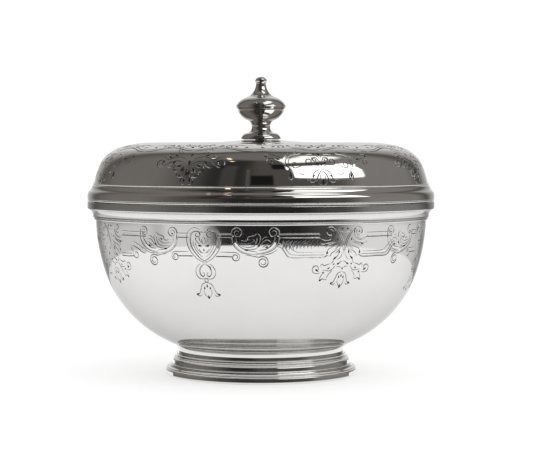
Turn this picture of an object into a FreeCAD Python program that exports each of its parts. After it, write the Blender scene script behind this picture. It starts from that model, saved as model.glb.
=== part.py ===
"""Covered sugar bowl in silver: a raised bowl on a spreading foot, a domed lid and a turned finial.

Millimetres. +Z is the axis of the bowl, and the origin is on that axis at the table.
Every piece but the nut is a body of revolution: a section in the XZ plane, turned about Z.
"""
import FreeCAD, Part
import os
import re
import Sketcher

# Driving dimensions. Radii are from the axis, heights from the table, angles in degrees.
SIZES = {
    # Bowl: a flat disc, then base arc, belly arc and upper arc, each tangent to the one before.
    "bowl_bottom": 6.8, "neck_radius": 57.15, "rim_top": 60.2, "bowl_wall": 0.8,
    "base_arc": 52.3, "base_angle": 28.4, "belly_arc": 40.2, "belly_angle": 72.0, "upper_arc": 64.85,
    # Mouth: a plain band over a cove, with a reed wire under the cove.
    "rim_radius": 60.0, "rim_edge": 0.25, "band_height": 2.6, "band_step": 0.45,
    "cove_height": 2.3, "cove_depth": 1.45, "cove_arc": 2.6, "fillet_height": 0.5,
    "reed_height": 0.9, "reed_root": 0.3, "reed_arc": 0.48, "solder_gap": 0.03,
    # Foot: the base wire on the table.
    "foot_radius": 33.3, "wire_top": 2.35, "wire_width": 1.9, "wire_chamfer": 0.45,
    "wire_round": 0.9, "wire_tread": 0.8, "wire_shoulder": 0.45, "shoulder_inset": 0.5,
    # Foot: the stepped skirt, from the wire up to the waist, and the collar under the bowl.
    "roll_top": 2.95, "roll_arc": 0.42, "hollow_arc": 0.95, "step_radius": 31.4, "step_height": 3.7,
    "plinth_radius": 31.0, "plinth_top_radius": 30.1, "plinth_top": 5.85, "bead_width": 0.5,
    "bead_arc": 0.27, "cavetto_radius": 29.25, "cavetto_top": 7.1, "cavetto_arc": 0.9,
    "waist_radius": 28.8, "waist_height": 8.6, "collar_wall": 0.95, "collar_flare": 1.5,
    "flare_arc": 2.6,
    # Lid: upright wall, sloping side, shoulder arc, crown arc, flat top and a raised boss.
    "lid_gap": 0.2, "lid_wall": 0.8, "lid_radius": 57.75, "lid_step": 66.4, "side_height": 5.2,
    "side_angle": 16.5, "shoulder_arc": 10.5, "shoulder_angle": 70.0, "crown_arc": 33.0,
    "hollow_radius": 22.0, "boss_radius": 7.6, "boss_rise": 0.8,
    # Lid: ogee moulding over a thin wire, and the bezel that drops into the mouth.
    "edge_height": 0.6, "edge_bulge": 0.2, "edge_arc": 0.33, "lid_band": 1.4, "ovolo_inset": 0.75,
    "ovolo_height": 1.5, "ovolo_arc": 2.4, "ogee_inset": 0.85, "ogee_height": 1.5, "ogee_arc": 2.4,
    "lid_bead": 0.25, "bezel_wall": 0.8, "bezel_drop": 5.2, "bezel_clearance": 0.4, "bezel_lead": 0.3,
    # Finial, with heights from its seat on the lid: pedestal, neck, lower knop, upper knop, spire.
    "seat_gap": 0.1, "pad_radius": 6.3, "pad_height": 0.2, "flange_radius": 6.9,
    "flange_top": 0.5, "pedestal_radius": 4.4, "pedestal_top": 2.4, "pedestal_arc": 2.6,
    "neck_top_radius": 4.3, "neck_top": 6.55, "neck_arc": 2.4, "knop_foot_radius": 4.9,
    "knop_foot": 6.8, "knop_arc": 6.0, "knop_wall": 0.8, "seam_radius": 8.0, "seam_height": 10.1,
    "seam_groove": 0.2, "knop_floor_radius": 4.2, "knop_floor": 7.8, "ridge_radius": 8.7,
    "ridge_height": 11.45, "upper_knop_arc": 5.6, "upper_knop_radius": 5.1, "upper_knop_top": 14.6,
    "ceiling_height": 13.7, "ceiling_arc": 5.0, "spire_radius": 4.6, "spire_foot": 14.85,
    "spire_arc": 5.4, "spire_neck": 1.55, "spire_top": 19.4, "tip_radius": 1.95, "tip_waist": 20.7,
    "tip_side_arc": 1.7, "tip_arc": 2.3, "tip_flat": 0.3, "finial_height": 21.75,
    # Stud, washer and nut that hold the finial to the lid.
    "stud_radius": 2.0, "stud_clearance": 0.08, "stud_top": 5.0, "stud_chamfer": 0.4,
    "stud_tail": 1.0, "washer_radius": 5.0, "washer_thickness": 0.8, "nut_flats": 7.0,
    "nut_height": 2.6, "nut_chamfer": 0.35,
}

# Sizes that follow from the driving dimensions.
DERIVED = {
    "belly_top_radius": "(neck_radius - upper_arc * (1 - sin(belly_angle)))",
    "belly_low_radius": "(belly_top_radius - belly_arc * (sin(belly_angle) - sin(base_angle)))",
    "base_radius": "(belly_low_radius - base_arc * sin(base_angle))",
    "belly_low_height": "(bowl_bottom + base_arc * (1 - cos(base_angle)))",
    "belly_top_height": "(belly_low_height + belly_arc * (cos(base_angle) - cos(belly_angle)))",
    "upright_from": "(belly_top_height + upper_arc * cos(belly_angle))",
    "mouth_radius": "(neck_radius - bowl_wall)",
    "band_low": "(rim_top - band_height)",
    "cove_low": "(band_low - cove_height)",
    "cove_radius": "(rim_radius - band_step - cove_depth)",
    "rim_low": "(cove_low - fillet_height)",
    "wire_inner": "(foot_radius - wire_width)",
    "plinth_low": "(step_height + bead_width)",
    "collar_inner": "(waist_radius - collar_wall)",
    "flare_radius": "(waist_radius + collar_flare)",
    "lid_base": "(rim_top + lid_gap)",
    "edge_top": "(lid_base + edge_height)",
    "bezel_top": "(lid_base + bezel_wall)",
    "bezel_low": "(lid_base - bezel_drop)",
    "bezel_radius": "(mouth_radius - bezel_clearance)",
    "bezel_inner": "(bezel_radius - bezel_wall)",
    "ovolo_low": "(edge_top + lid_band)",
    "ovolo_top": "(ovolo_low + ovolo_height)",
    "ogee_top": "(ovolo_top + ogee_height)",
    "ogee_radius": "(rim_radius - ovolo_inset - ogee_inset)",
    "shoulder_radius": "(lid_radius - side_height * tan(side_angle))",
    "shoulder_height": "(lid_step + side_height)",
    "crown_radius": "(shoulder_radius - shoulder_arc * (cos(side_angle) - cos(shoulder_angle)))",
    "crown_height": "(shoulder_height + shoulder_arc * (sin(shoulder_angle) - sin(side_angle)))",
    "flat_radius": "(crown_radius - crown_arc * cos(shoulder_angle))",
    "flat_height": "(crown_height + crown_arc * (1 - sin(shoulder_angle)))",
    "boss_height": "(flat_height + boss_rise)",
    "boss_arc": "(((hollow_radius - boss_radius) ^ 2 + boss_rise ^ 2) / (2 * boss_rise))",
    "seat": "(boss_height + seat_gap)",
    "washer_top": "(boss_height - lid_wall - seat_gap)",
    "nut_top": "(washer_top - washer_thickness)",
    "nut_low": "(nut_top - nut_height)",
    "nut_corner": "(nut_flats / sqrt(3))",
    "stud_hole": "(stud_radius + stud_clearance)",
    "stud_bore": "(stud_radius + solder_gap)",
}

doc = FreeCAD.newDocument("sugar_bowl")
sheet = doc.addObject("Spreadsheet::Sheet", "Sizes")
for row, (name, size) in enumerate(SIZES.items(), start=1):
    sheet.set(f"A{row}", name)
    sheet.set(f"B{row}", str(size))
    sheet.setAlias(f"B{row}", name)
doc.recompute()


def formula(text):
    """Turn a formula in plain names into an expression that reads the sheet."""
    written = ""
    while written != text:
        written = text
        text = re.sub(r"\b[a-z_]+\b", lambda found: DERIVED.get(found.group(), found.group()), text)
    return re.sub(r"\b[a-z_]+\b",
                  lambda found: ("Sizes." if found.group() in SIZES else "") + found.group(), text)


def value_of(text):
    """The number that a formula gives."""
    return float(sheet.evalExpression(formula(text)))


def new_sketch(body, name, role):
    """An empty sketch on one of the body's own origin planes."""
    sketch = body.newObject("Sketcher::SketchObject", name)
    plane = next(feature for feature in body.Origin.OriginFeatures if feature.Role == role)
    sketch.AttachmentSupport = (plane, [""])
    sketch.MapMode = "FlatFace"
    return sketch


def arc_between(start, end, radius):
    """The short arc from start to end; a positive radius turns left, a negative one right."""
    chord = end - start
    left = FreeCAD.Vector(-chord.y, chord.x, 0).normalize()
    to_centre = (radius ** 2 - (chord.Length / 2) ** 2) ** 0.5
    centre = (start + end) / 2 + left * (to_centre if radius > 0 else -to_centre)
    first, last = (start, end) if radius > 0 else (end, start)
    circle = Part.Circle(centre, FreeCAD.Vector(0, 0, 1), abs(radius))
    return Part.ArcOfCircle(circle, circle.parameter(first), circle.parameter(last))


def bind(sketch, index, name, text):
    """Name a sketch constraint and bind it to the sheet."""
    sketch.renameConstraint(index, name)
    sketch.setExpression("Constraints." + name, formula(text))


def hold(sketch, edge, point, axis, text):
    """Hold a point at a distance from the sketch's origin along one axis."""
    if text == "0":
        sketch.addConstraint(Sketcher.Constraint("PointOnObject", edge, point, {"X": -2, "Y": -1}[axis]))
        return
    distance = Sketcher.Constraint("Distance" + axis, -1, 1, edge, point, value_of(text))
    bind(sketch, sketch.addConstraint(distance), f"{axis.lower()}_{edge}", text)


def draw(sketch, outline):
    """Draw a closed outline of (across, up) corners; a third entry bends the edge that follows."""
    points = [FreeCAD.Vector(value_of(corner[0]), value_of(corner[1]), 0) for corner in outline]
    ends = []
    for index, corner in enumerate(outline):
        start, end = points[index], points[(index + 1) % len(points)]
        if len(corner) == 2:
            ends.append((sketch.addGeometry(Part.LineSegment(start, end), False), 1, 2))
            continue
        edge = sketch.addGeometry(arc_between(start, end, value_of(corner[2])), False)
        ends.append((edge, 2, 1) if corner[2].startswith("-") else (edge, 1, 2))
    for index, corner in enumerate(outline):
        edge, start, end = ends[index]
        next_edge, next_start, _ = ends[(index + 1) % len(ends)]
        sketch.addConstraint(Sketcher.Constraint("Coincident", edge, end, next_edge, next_start))
        hold(sketch, edge, start, "X", corner[0])
        hold(sketch, edge, start, "Y", corner[1])
        if len(corner) == 3:
            bend = corner[2].lstrip("-")
            radius = sketch.addConstraint(Sketcher.Constraint("Radius", edge, value_of(bend)))
            bind(sketch, radius, f"bend_{edge}", bend)


def turned(label, outline):
    """A body of revolution: an outline of (radius, height) corners turned about the Z axis."""
    body = doc.addObject("PartDesign::Body", label)
    body.Label = label
    sketch = new_sketch(body, label + "_section", "XZ_Plane")
    draw(sketch, outline)
    turn = body.newObject("PartDesign::Revolution", label + "_turn")
    turn.Profile = sketch
    turn.ReferenceAxis = (sketch, ["V_Axis"])
    turn.Angle = 360
    body.Tip = turn
    return body


def under_bowl(radius):
    """Height of the bowl's underside at a radius on its base arc, less the solder."""
    return f"(bowl_bottom + base_arc - sqrt((base_arc + solder_gap) ^ 2 - ({radius} - base_radius) ^ 2))"


# ---------------------------------------------------------------- bowl

def bowl_shell():
    """The raised bowl, one wall thick, from the flat of its base to the top of the mouth."""
    return turned("bowl_shell", [
        ("0", "bowl_bottom"), ("base_radius", "bowl_bottom", "base_arc"),
        ("belly_low_radius", "belly_low_height", "belly_arc"),
        ("belly_top_radius", "belly_top_height", "upper_arc"),
        ("neck_radius", "upright_from"), ("neck_radius", "rim_top"), ("mouth_radius", "rim_top"),
        ("mouth_radius", "upright_from", "-(upper_arc - bowl_wall)"),
        ("belly_top_radius - bowl_wall * sin(belly_angle)",
         "belly_top_height + bowl_wall * cos(belly_angle)", "-(belly_arc - bowl_wall)"),
        ("belly_low_radius - bowl_wall * sin(base_angle)",
         "belly_low_height + bowl_wall * cos(base_angle)", "-(base_arc - bowl_wall)"),
        ("base_radius", "bowl_bottom + bowl_wall"), ("0", "bowl_bottom + bowl_wall")])


def bowl_rim_moulding():
    """The band and cove that stiffen the mouth, soldered round the neck."""
    return turned("bowl_rim_moulding", [
        ("neck_radius", "rim_low"), ("cove_radius", "rim_low"), ("cove_radius", "cove_low", "-cove_arc"),
        ("rim_radius - band_step", "band_low"), ("rim_radius - rim_edge", "band_low"),
        ("rim_radius", "band_low + rim_edge"), ("rim_radius", "rim_top - rim_edge"),
        ("rim_radius - rim_edge", "rim_top"), ("neck_radius", "rim_top")])


def rim_reed_wire():
    """The half-round wire under the cove."""
    return turned("rim_reed_wire", [
        ("neck_radius + solder_gap", "rim_low - reed_height"),
        ("neck_radius + reed_root", "rim_low - reed_height", "reed_arc"),
        ("neck_radius + reed_root", "rim_low"), ("neck_radius + solder_gap", "rim_low")])


# ---------------------------------------------------------------- foot

def foot_collar():
    """The collar of the foot, flaring from the waist to the underside of the bowl."""
    return turned("foot_collar", [
        ("collar_inner", "waist_height"), ("waist_radius", "waist_height", "-flare_arc"),
        ("flare_radius", under_bowl("flare_radius"), "-(base_arc + solder_gap)"),
        ("collar_inner", under_bowl("collar_inner"))])


def foot_skirt():
    """The stepped, spreading skirt between the base wire and the waist."""
    return turned("foot_skirt", [
        ("wire_inner", "wire_top"), ("foot_radius - shoulder_inset", "wire_top", "roll_arc"),
        ("foot_radius - 2 * shoulder_inset", "roll_top", "-hollow_arc"), ("step_radius", "step_height"),
        ("plinth_radius", "step_height", "bead_arc"), ("plinth_radius", "plinth_low"),
        ("plinth_top_radius", "plinth_top", "bead_arc"),
        ("plinth_top_radius", "plinth_top + bead_width"),
        ("plinth_top_radius - bead_arc", "plinth_top + bead_width", "-cavetto_arc"),
        ("cavetto_radius", "cavetto_top", "bead_arc"), ("cavetto_radius", "cavetto_top + bead_width"),
        ("waist_radius", "cavetto_top + bead_width"), ("waist_radius", "waist_height"),
        ("collar_inner", "waist_height"), ("collar_inner", "cavetto_top")])


def foot_base_wire():
    """The base wire, with a narrow flat tread that stands on the table."""
    return turned("foot_base_wire", [
        ("wire_inner + wire_chamfer", "0"), ("foot_radius - wire_tread", "0", "wire_round"),
        ("foot_radius", "wire_round"), ("foot_radius", "wire_top - wire_shoulder", "shoulder_inset"),
        ("foot_radius - shoulder_inset", "wire_top"), ("wire_inner", "wire_top"),
        ("wire_inner", "wire_chamfer")])


# ---------------------------------------------------------------- lid

def lid_dome():
    """The raised dome of the lid, one wall thick, with a hole in its boss for the stud."""
    return turned("lid_dome", [
        ("lid_radius - lid_wall", "bezel_top"), ("lid_radius", "bezel_top"), ("lid_radius", "lid_step"),
        ("shoulder_radius", "shoulder_height", "shoulder_arc"),
        ("crown_radius", "crown_height", "crown_arc"), ("flat_radius", "flat_height"),
        ("hollow_radius", "flat_height", "-boss_arc"), ("boss_radius", "boss_height"),
        ("stud_hole", "boss_height"), ("stud_hole", "boss_height - lid_wall"),
        ("boss_radius", "boss_height - lid_wall", "boss_arc"),
        ("hollow_radius", "flat_height - lid_wall"),
        ("flat_radius", "flat_height - lid_wall", "-(crown_arc - lid_wall)"),
        ("crown_radius - lid_wall * cos(shoulder_angle)",
         "crown_height - lid_wall * sin(shoulder_angle)", "-(shoulder_arc - lid_wall)"),
        ("shoulder_radius - lid_wall * cos(side_angle)", "shoulder_height - lid_wall * sin(side_angle)"),
        ("lid_radius - lid_wall", "lid_step")])


def lid_rim_moulding():
    """The ogee moulding round the foot of the dome."""
    return turned("lid_rim_moulding", [
        ("lid_radius", "edge_top"), ("rim_radius", "edge_top"), ("rim_radius", "ovolo_low", "ovolo_arc"),
        ("rim_radius - ovolo_inset", "ovolo_top", "-ogee_arc"), ("ogee_radius", "ogee_top"),
        ("lid_radius + lid_bead", "lid_step - bead_width", "bead_arc"),
        ("lid_radius + lid_bead", "lid_step"), ("lid_radius", "lid_step")])


def lid_edge_wire():
    """The thin half-round wire along the bottom edge of the lid."""
    return turned("lid_edge_wire", [
        ("lid_radius", "lid_base"), ("rim_radius - edge_bulge", "lid_base", "edge_arc"),
        ("rim_radius - edge_bulge", "edge_top"), ("lid_radius", "edge_top")])


def lid_bezel():
    """The bezel: a flange that rests over the rim and a ring that drops into the mouth."""
    return turned("lid_bezel", [
        ("bezel_inner", "bezel_low"), ("bezel_radius - bezel_lead", "bezel_low"),
        ("bezel_radius", "bezel_low + bezel_lead"), ("bezel_radius", "lid_base"),
        ("lid_radius", "lid_base"), ("lid_radius", "bezel_top"), ("bezel_inner", "bezel_top")])


# ---------------------------------------------------------------- finial

def from_seat(outline):
    """Raise an outline's heights from the finial's seat to heights from the table."""
    return [(corner[0], f"seat + {corner[1]}", *corner[2:]) for corner in outline]


def finial_base():
    """The pedestal that stands on the lid's boss."""
    return turned("finial_base", from_seat([
        ("stud_bore", "0"), ("pad_radius", "0"), ("pad_radius", "pad_height"),
        ("flange_radius", "pad_height"), ("flange_radius", "flange_top", "pedestal_arc"),
        ("pedestal_radius", "pedestal_top"), ("stud_bore", "pedestal_top")]))


def finial_stem():
    """The neck and the lower half of the hollow knop, with a socket for the stud."""
    return turned("finial_stem", from_seat([
        ("stud_bore", "pedestal_top"), ("pedestal_radius", "pedestal_top", "-neck_arc"),
        ("neck_top_radius", "neck_top"), ("knop_foot_radius", "knop_foot", "knop_arc"),
        ("seam_radius", "seam_height"), ("seam_radius - knop_wall", "seam_height", "-(knop_arc - knop_wall)"),
        ("knop_floor_radius", "knop_floor"), ("0", "knop_floor"), ("0", "stud_top + solder_gap"),
        ("stud_bore", "stud_top + solder_gap")]))


def finial_cap():
    """The upper half of the knop with its sharp ridge, and the spire that ends in a small tip."""
    return turned("finial_cap", from_seat([
        ("seam_radius - knop_wall", "seam_height"), ("seam_radius - seam_groove", "seam_height"),
        ("seam_radius - seam_groove", "seam_height + seam_groove"),
        ("seam_radius + seam_groove / 2", "seam_height + 2 * seam_groove"),
        ("ridge_radius", "ridge_height", "upper_knop_arc"), ("upper_knop_radius", "upper_knop_top"),
        ("spire_radius", "spire_foot", "-spire_arc"), ("spire_neck", "spire_top", "tip_side_arc"),
        ("tip_radius", "tip_waist", "tip_arc"), ("tip_flat", "finial_height"), ("0", "finial_height"),
        ("0", "ceiling_height"),
        ("knop_floor_radius", "ceiling_height", "-ceiling_arc"),
        ("seam_radius - knop_wall", "ridge_height")]))


def finial_stud():
    """The stud that runs from the finial down through the lid."""
    low = "nut_low - stud_tail"
    return turned("finial_stud", [
        ("0", low), ("stud_radius - stud_chamfer", low), ("stud_radius", low + " + stud_chamfer"),
        ("stud_radius", "seat + stud_top"), ("0", "seat + stud_top")])


def finial_washer():
    """The washer between the nut and the inside of the lid."""
    return turned("finial_washer", [
        ("stud_hole", "nut_top"), ("washer_radius", "nut_top"),
        ("washer_radius", "washer_top"), ("stud_hole", "washer_top")])


def finial_nut():
    """The hexagon nut inside the lid, with its lower corners turned off."""
    body = doc.addObject("PartDesign::Body", "finial_nut")
    body.Label = "finial_nut"
    plan = new_sketch(body, "finial_nut_plan", "XY_Plane")
    plan.setExpression("AttachmentOffset.Base.z", formula("nut_low"))
    draw(plan, [(f"nut_corner * cos({angle})", f"nut_corner * sin({angle})")
                for angle in range(30, 390, 60)])
    bore = plan.addGeometry(Part.Circle(FreeCAD.Vector(), FreeCAD.Vector(0, 0, 1), 1), False)
    plan.addConstraint(Sketcher.Constraint("Coincident", bore, 3, -1, 1))
    radius = plan.addConstraint(Sketcher.Constraint("Radius", bore, value_of("stud_bore")))
    bind(plan, radius, "bore", "stud_bore")
    block = body.newObject("PartDesign::Pad", "finial_nut_block")
    block.Profile = plan
    block.setExpression("Length", formula("nut_height"))
    corner = new_sketch(body, "finial_nut_corner", "XZ_Plane")
    draw(corner, [("nut_flats / 2", "nut_low"), ("nut_corner + nut_chamfer", "nut_low"),
                  ("nut_corner + nut_chamfer", "nut_low + nut_chamfer")])
    turn_off = body.newObject("PartDesign::Groove", "finial_nut_chamfer")
    turn_off.Profile = corner
    turn_off.ReferenceAxis = (corner, ["V_Axis"])
    turn_off.Angle = 360
    body.Tip = turn_off
    return body


pieces = [bowl_shell(), bowl_rim_moulding(), rim_reed_wire(), foot_collar(), foot_skirt(),
          foot_base_wire(), lid_dome(), lid_rim_moulding(), lid_edge_wire(), lid_bezel(),
          finial_base(), finial_stem(), finial_cap(), finial_stud(), finial_washer(), finial_nut()]
doc.recompute()

failed = [item.Label for item in doc.Objects if {"Invalid", "Error"} & set(item.State)]
if failed:
    raise RuntimeError("these objects did not compute: " + ", ".join(failed))
for piece in pieces:
    if piece.Shape.isNull() or not piece.Shape.isValid() or len(piece.Shape.Solids) != 1:
        raise RuntimeError(piece.Label + " is not one valid solid")

os.makedirs("parts", exist_ok=True)
for piece in pieces:
    piece.Shape.exportStep(f"parts/{piece.Label}.step")
    print(f"{piece.Label}: {piece.Shape.Volume:.1f} mm3, top at {piece.Shape.BoundBox.ZMax:.2f}")
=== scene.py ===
"""Looks of the covered silver sugar bowl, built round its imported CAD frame.

Outlines and engraving are in millimetres and become metres when a mesh is made. Every silver piece is
turned from its section with exact normals; the bowl and the lid carry real engraved cuts.
"""

import math

import bpy
import numpy as np
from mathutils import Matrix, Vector
from mathutils.geometry import delaunay_2d_cdt


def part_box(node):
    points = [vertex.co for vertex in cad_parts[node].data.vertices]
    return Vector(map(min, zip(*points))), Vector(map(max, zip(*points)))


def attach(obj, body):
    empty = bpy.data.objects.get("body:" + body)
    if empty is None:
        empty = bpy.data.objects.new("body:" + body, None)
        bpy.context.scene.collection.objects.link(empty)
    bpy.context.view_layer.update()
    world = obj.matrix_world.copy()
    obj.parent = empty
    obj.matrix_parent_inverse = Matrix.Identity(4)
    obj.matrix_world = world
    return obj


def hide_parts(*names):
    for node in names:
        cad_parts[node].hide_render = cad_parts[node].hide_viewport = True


MM = 0.001
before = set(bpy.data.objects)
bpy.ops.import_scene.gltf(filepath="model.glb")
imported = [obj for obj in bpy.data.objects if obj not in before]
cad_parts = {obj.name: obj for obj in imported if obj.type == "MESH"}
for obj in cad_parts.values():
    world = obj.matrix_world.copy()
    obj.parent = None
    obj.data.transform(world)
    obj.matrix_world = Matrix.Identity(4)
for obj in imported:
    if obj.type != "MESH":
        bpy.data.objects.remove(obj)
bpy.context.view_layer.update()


# ---------------------------------------------------------------- sizes from the frame

def top_of(node):
    """Height of a CAD node's top, in millimetres."""
    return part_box(node)[1].z / MM


def foot_of(node):
    """Height of a CAD node's underside, in millimetres."""
    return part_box(node)[0].z / MM


def radius_of(node):
    """Largest radius of a CAD node, in millimetres."""
    low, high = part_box(node)
    return max(high.x, high.y, -low.x, -low.y) / MM


NECK = radius_of("bowl_shell")
RIM = radius_of("bowl_rim_moulding")
RIM_TOP = top_of("bowl_shell")
RIM_LOW = foot_of("bowl_rim_moulding")
REED_LOW = foot_of("rim_reed_wire")
BOWL_BOTTOM = foot_of("bowl_shell")
FOOT = radius_of("foot_base_wire")
WIRE_TOP = top_of("foot_base_wire")
WAIST = top_of("foot_skirt")
LID = radius_of("lid_dome")
LID_BASE = foot_of("lid_edge_wire")
EDGE_TOP = top_of("lid_edge_wire")
LID_STEP = top_of("lid_rim_moulding")
BEZEL_TOP = top_of("lid_bezel")
BEZEL_LOW = foot_of("lid_bezel")
SEAT = foot_of("finial_base")
NUT_LOW = foot_of("finial_nut")
NUT_TOP = top_of("finial_nut")
WASHER_TOP = top_of("finial_washer")
STUD_LOW = foot_of("finial_stud")
STUD_TOP = top_of("finial_stud")
STUD = radius_of("finial_stud")

BOWL_WALL = 0.8
LID_WALL = 0.8
SOLDER = 0.03
BEZEL_CLEARANCE, BEZEL_WALL = 0.4, 0.8
BEZEL = NECK - BOWL_WALL - BEZEL_CLEARANCE
BASE_ARC, BASE_ANGLE = 52.3, math.radians(28.4)
BELLY_ARC, BELLY_ANGLE = 40.2, math.radians(72.0)
UPPER_ARC = 64.85
SIDE_ANGLE, SIDE_HEIGHT, SIDE_ARC = math.radians(16.5), 5.2, 55.0
SHOULDER_ARC, SHOULDER_ANGLE = 11.1, math.radians(70.0)
CROWN_ARC = 33.0
HOLLOW_RADIUS, BOSS_RADIUS, BOSS_RISE = 22.0, 7.6, 0.8

ROUND_STEPS = 288
ARC_ERROR = 0.004
EDGE_ROUNDING = 0.07
CREASE = math.radians(12.0)


# ---------------------------------------------------------------- sections

class Stretch:
    """A short straight piece of a section, with the true surface normal at both of its ends."""

    def __init__(self, start, end, normal_start, normal_end, cut=False):
        self.start, self.end = np.array(start, float), np.array(end, float)
        self.normal_start, self.normal_end = normal_start, normal_end
        self.cut = cut


def unit(vector):
    """A vector made one long."""
    return vector / np.hypot(*vector)


def arc_stretches(start, end, bend):
    """An arc from start to end; a positive bend turns left. Material is on the left."""
    chord = end - start
    length = np.hypot(*chord)
    left = np.array([-chord[1], chord[0]]) / length
    reach = math.sqrt(max(bend * bend - length * length / 4, 0.0))
    centre = (start + end) / 2 + left * math.copysign(reach, bend)
    first = math.atan2(*(start - centre)[::-1])
    sweep = 2 * math.asin(min(length / 2 / abs(bend), 1.0)) * math.copysign(1, bend)
    steps = max(4, math.ceil(abs(sweep) / (2 * math.acos(1 - ARC_ERROR / abs(bend)))))
    angles = [first + sweep * k / steps for k in range(steps + 1)]
    side = math.copysign(1, bend)
    spokes = [np.array([math.cos(angle), math.sin(angle)]) for angle in angles]
    return [Stretch(centre + abs(bend) * a, centre + abs(bend) * b, a * side, b * side)
            for a, b in zip(spokes, spokes[1:])]


def section(outline):
    """Stretches of a closed outline of (radius, height) corners; a third entry bends the next edge."""
    stretches = []
    for index, corner in enumerate(outline):
        start = np.array(corner[:2], float)
        end = np.array(outline[(index + 1) % len(outline)][:2], float)
        if len(corner) == 3:
            stretches += arc_stretches(start, end, corner[2])
            continue
        normal = unit(np.array([end[1] - start[1], start[0] - end[0]]))
        stretches.append(Stretch(start, end, normal, normal))
    return stretches


def soften(stretches, size=EDGE_ROUNDING):
    """Round every crease of a section by a small quadratic curve."""
    result = []
    count = len(stretches)
    rounded = []
    for index in range(count):
        this, following = stretches[index], stretches[(index + 1) % count]
        along, onward = this.end - this.start, following.end - following.start
        turn = math.acos(max(-1.0, min(1.0, float(unit(along) @ unit(onward)))))
        gap = float(this.normal_end @ following.normal_start)
        on_axis = this.end[0] < 1e-6
        if on_axis or gap > math.cos(CREASE) or turn < CREASE:
            rounded.append(None)
            continue
        trim = min(size, 0.4 * np.hypot(*along), 0.4 * np.hypot(*onward))
        rounded.append((this.end - unit(along) * trim, this.end, this.end + unit(onward) * trim))
    for index in range(count):
        this = stretches[index]
        before, after = rounded[index - 1], rounded[index]
        start = before[2] if before else this.start
        end = after[0] if after else this.end
        result.append(Stretch(start, end, this.normal_start, this.normal_end))
        if not after:
            continue
        points, normals = [], []
        for k in range(4):
            t = k / 3
            points.append((1 - t) ** 2 * after[0] + 2 * t * (1 - t) * after[1] + t * t * after[2])
            slope = (1 - t) * (after[1] - after[0]) + t * (after[2] - after[1])
            normals.append(unit(np.array([slope[1], -slope[0]])))
        normals[0] = this.normal_end
        normals[3] = stretches[(index + 1) % count].normal_start
        for k in range(3):
            result.append(Stretch(points[k], points[k + 1], normals[k], normals[k + 1]))
    return result


# ---------------------------------------------------------------- meshes

class Fabric:
    """Faces collected for one mesh, with a normal for every corner and a material for every face."""

    def __init__(self):
        self.points, self.faces, self.normals, self.materials = [], [], [], []
        self.known = {}

    def point(self, place):
        """Index of a point, shared with any earlier point in the same place."""
        key = tuple(round(float(c) * 20000) for c in place)
        if key not in self.known:
            self.known[key] = len(self.points)
            self.points.append(tuple(float(c) * MM for c in place))
        return self.known[key]

    def face(self, places, normals, material=0):
        """Add a face; corners that fall together are left out."""
        corners, kept = [], []
        for place, normal in zip(places, normals):
            index = self.point(place)
            if index not in corners:
                corners.append(index)
                kept.append(normal)
        if len(corners) > 2:
            self.faces.append(corners)
            self.normals += kept
            self.materials.append(material)

    def build(self, name, *materials):
        """Make the Blender object."""
        mesh = bpy.data.meshes.new(name)
        mesh.from_pydata(self.points, [], self.faces)
        for material in materials:
            mesh.materials.append(material)
        mesh.polygons.foreach_set("material_index", self.materials)
        mesh.polygons.foreach_set("use_smooth", [True] * len(self.faces))
        mesh.update()
        mesh.normals_split_custom_set([tuple(normal) for normal in self.normals])
        piece = bpy.data.objects.new(name, mesh)
        bpy.context.scene.collection.objects.link(piece)
        return piece


def around(radius, height, angle):
    """A point at an angle round the axis, counted from the front towards the right."""
    return radius * math.sin(angle), -radius * math.cos(angle), height


def panel(fabric, start, end, a, b, first, last=None):
    """One face of a turned surface between two angles; first and last are the normals at its two ends."""
    last = first if last is None else last
    fabric.face([around(*start, a), around(*start, b), around(*end, b), around(*end, a)],
                [around(*first, a), around(*first, b), around(*last, b), around(*last, a)])


def spin(fabric, stretches, steps=ROUND_STEPS):
    """Turn a section about the axis."""
    angles = [2 * math.pi * k / steps for k in range(steps + 1)]
    for piece in stretches:
        if piece.cut or max(piece.start[0], piece.end[0]) < 1e-6:
            continue
        for a, b in zip(angles, angles[1:]):
            panel(fabric, piece.start, piece.end, a, b, piece.normal_start, piece.normal_end)


def turned(name, outline, body, slot, material, *nodes, steps=ROUND_STEPS, rounding=EDGE_ROUNDING):
    """A turned silver piece that rides on a body and stands for CAD nodes."""
    fabric = Fabric()
    spin(fabric, soften(section(outline), rounding), steps)
    return placed(fabric.build(name, material), body, slot, *nodes)


def placed(piece, body, slot, *nodes):
    """Put a piece on its body in place of its CAD nodes; the slot is not used."""
    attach(piece, body)
    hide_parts(*nodes)
    return piece


# ---------------------------------------------------------------- engraving

STROKE_STEP = 0.45
CUT_SLOPE = 0.62
# Material slots of the engraved walls: polished skin, then cut faces darkened with painted shade, accents
# darkest.
BRIGHT, LINE, ACCENT = 0, 1, 2


class Stroke:
    """One cut of the graver: a path of (across, up) points with a half width at each."""

    def __init__(self, path, widths, valley=0.0, depth=CUT_SLOPE, finish_and_shade=LINE):
        self.path, self.widths = np.array(path, float), np.array(widths, float)
        self.valley, self.depth, self.finish_and_shade = valley, depth, finish_and_shade

    def moved(self, across, mirror=False):
        """The same cut further round, or mirrored first."""
        path = self.path * ((-1, 1) if mirror else (1, 1)) + (across, 0)
        return Stroke(path, self.widths, -self.valley if mirror else self.valley, self.depth, self.finish_and_shade)


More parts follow.
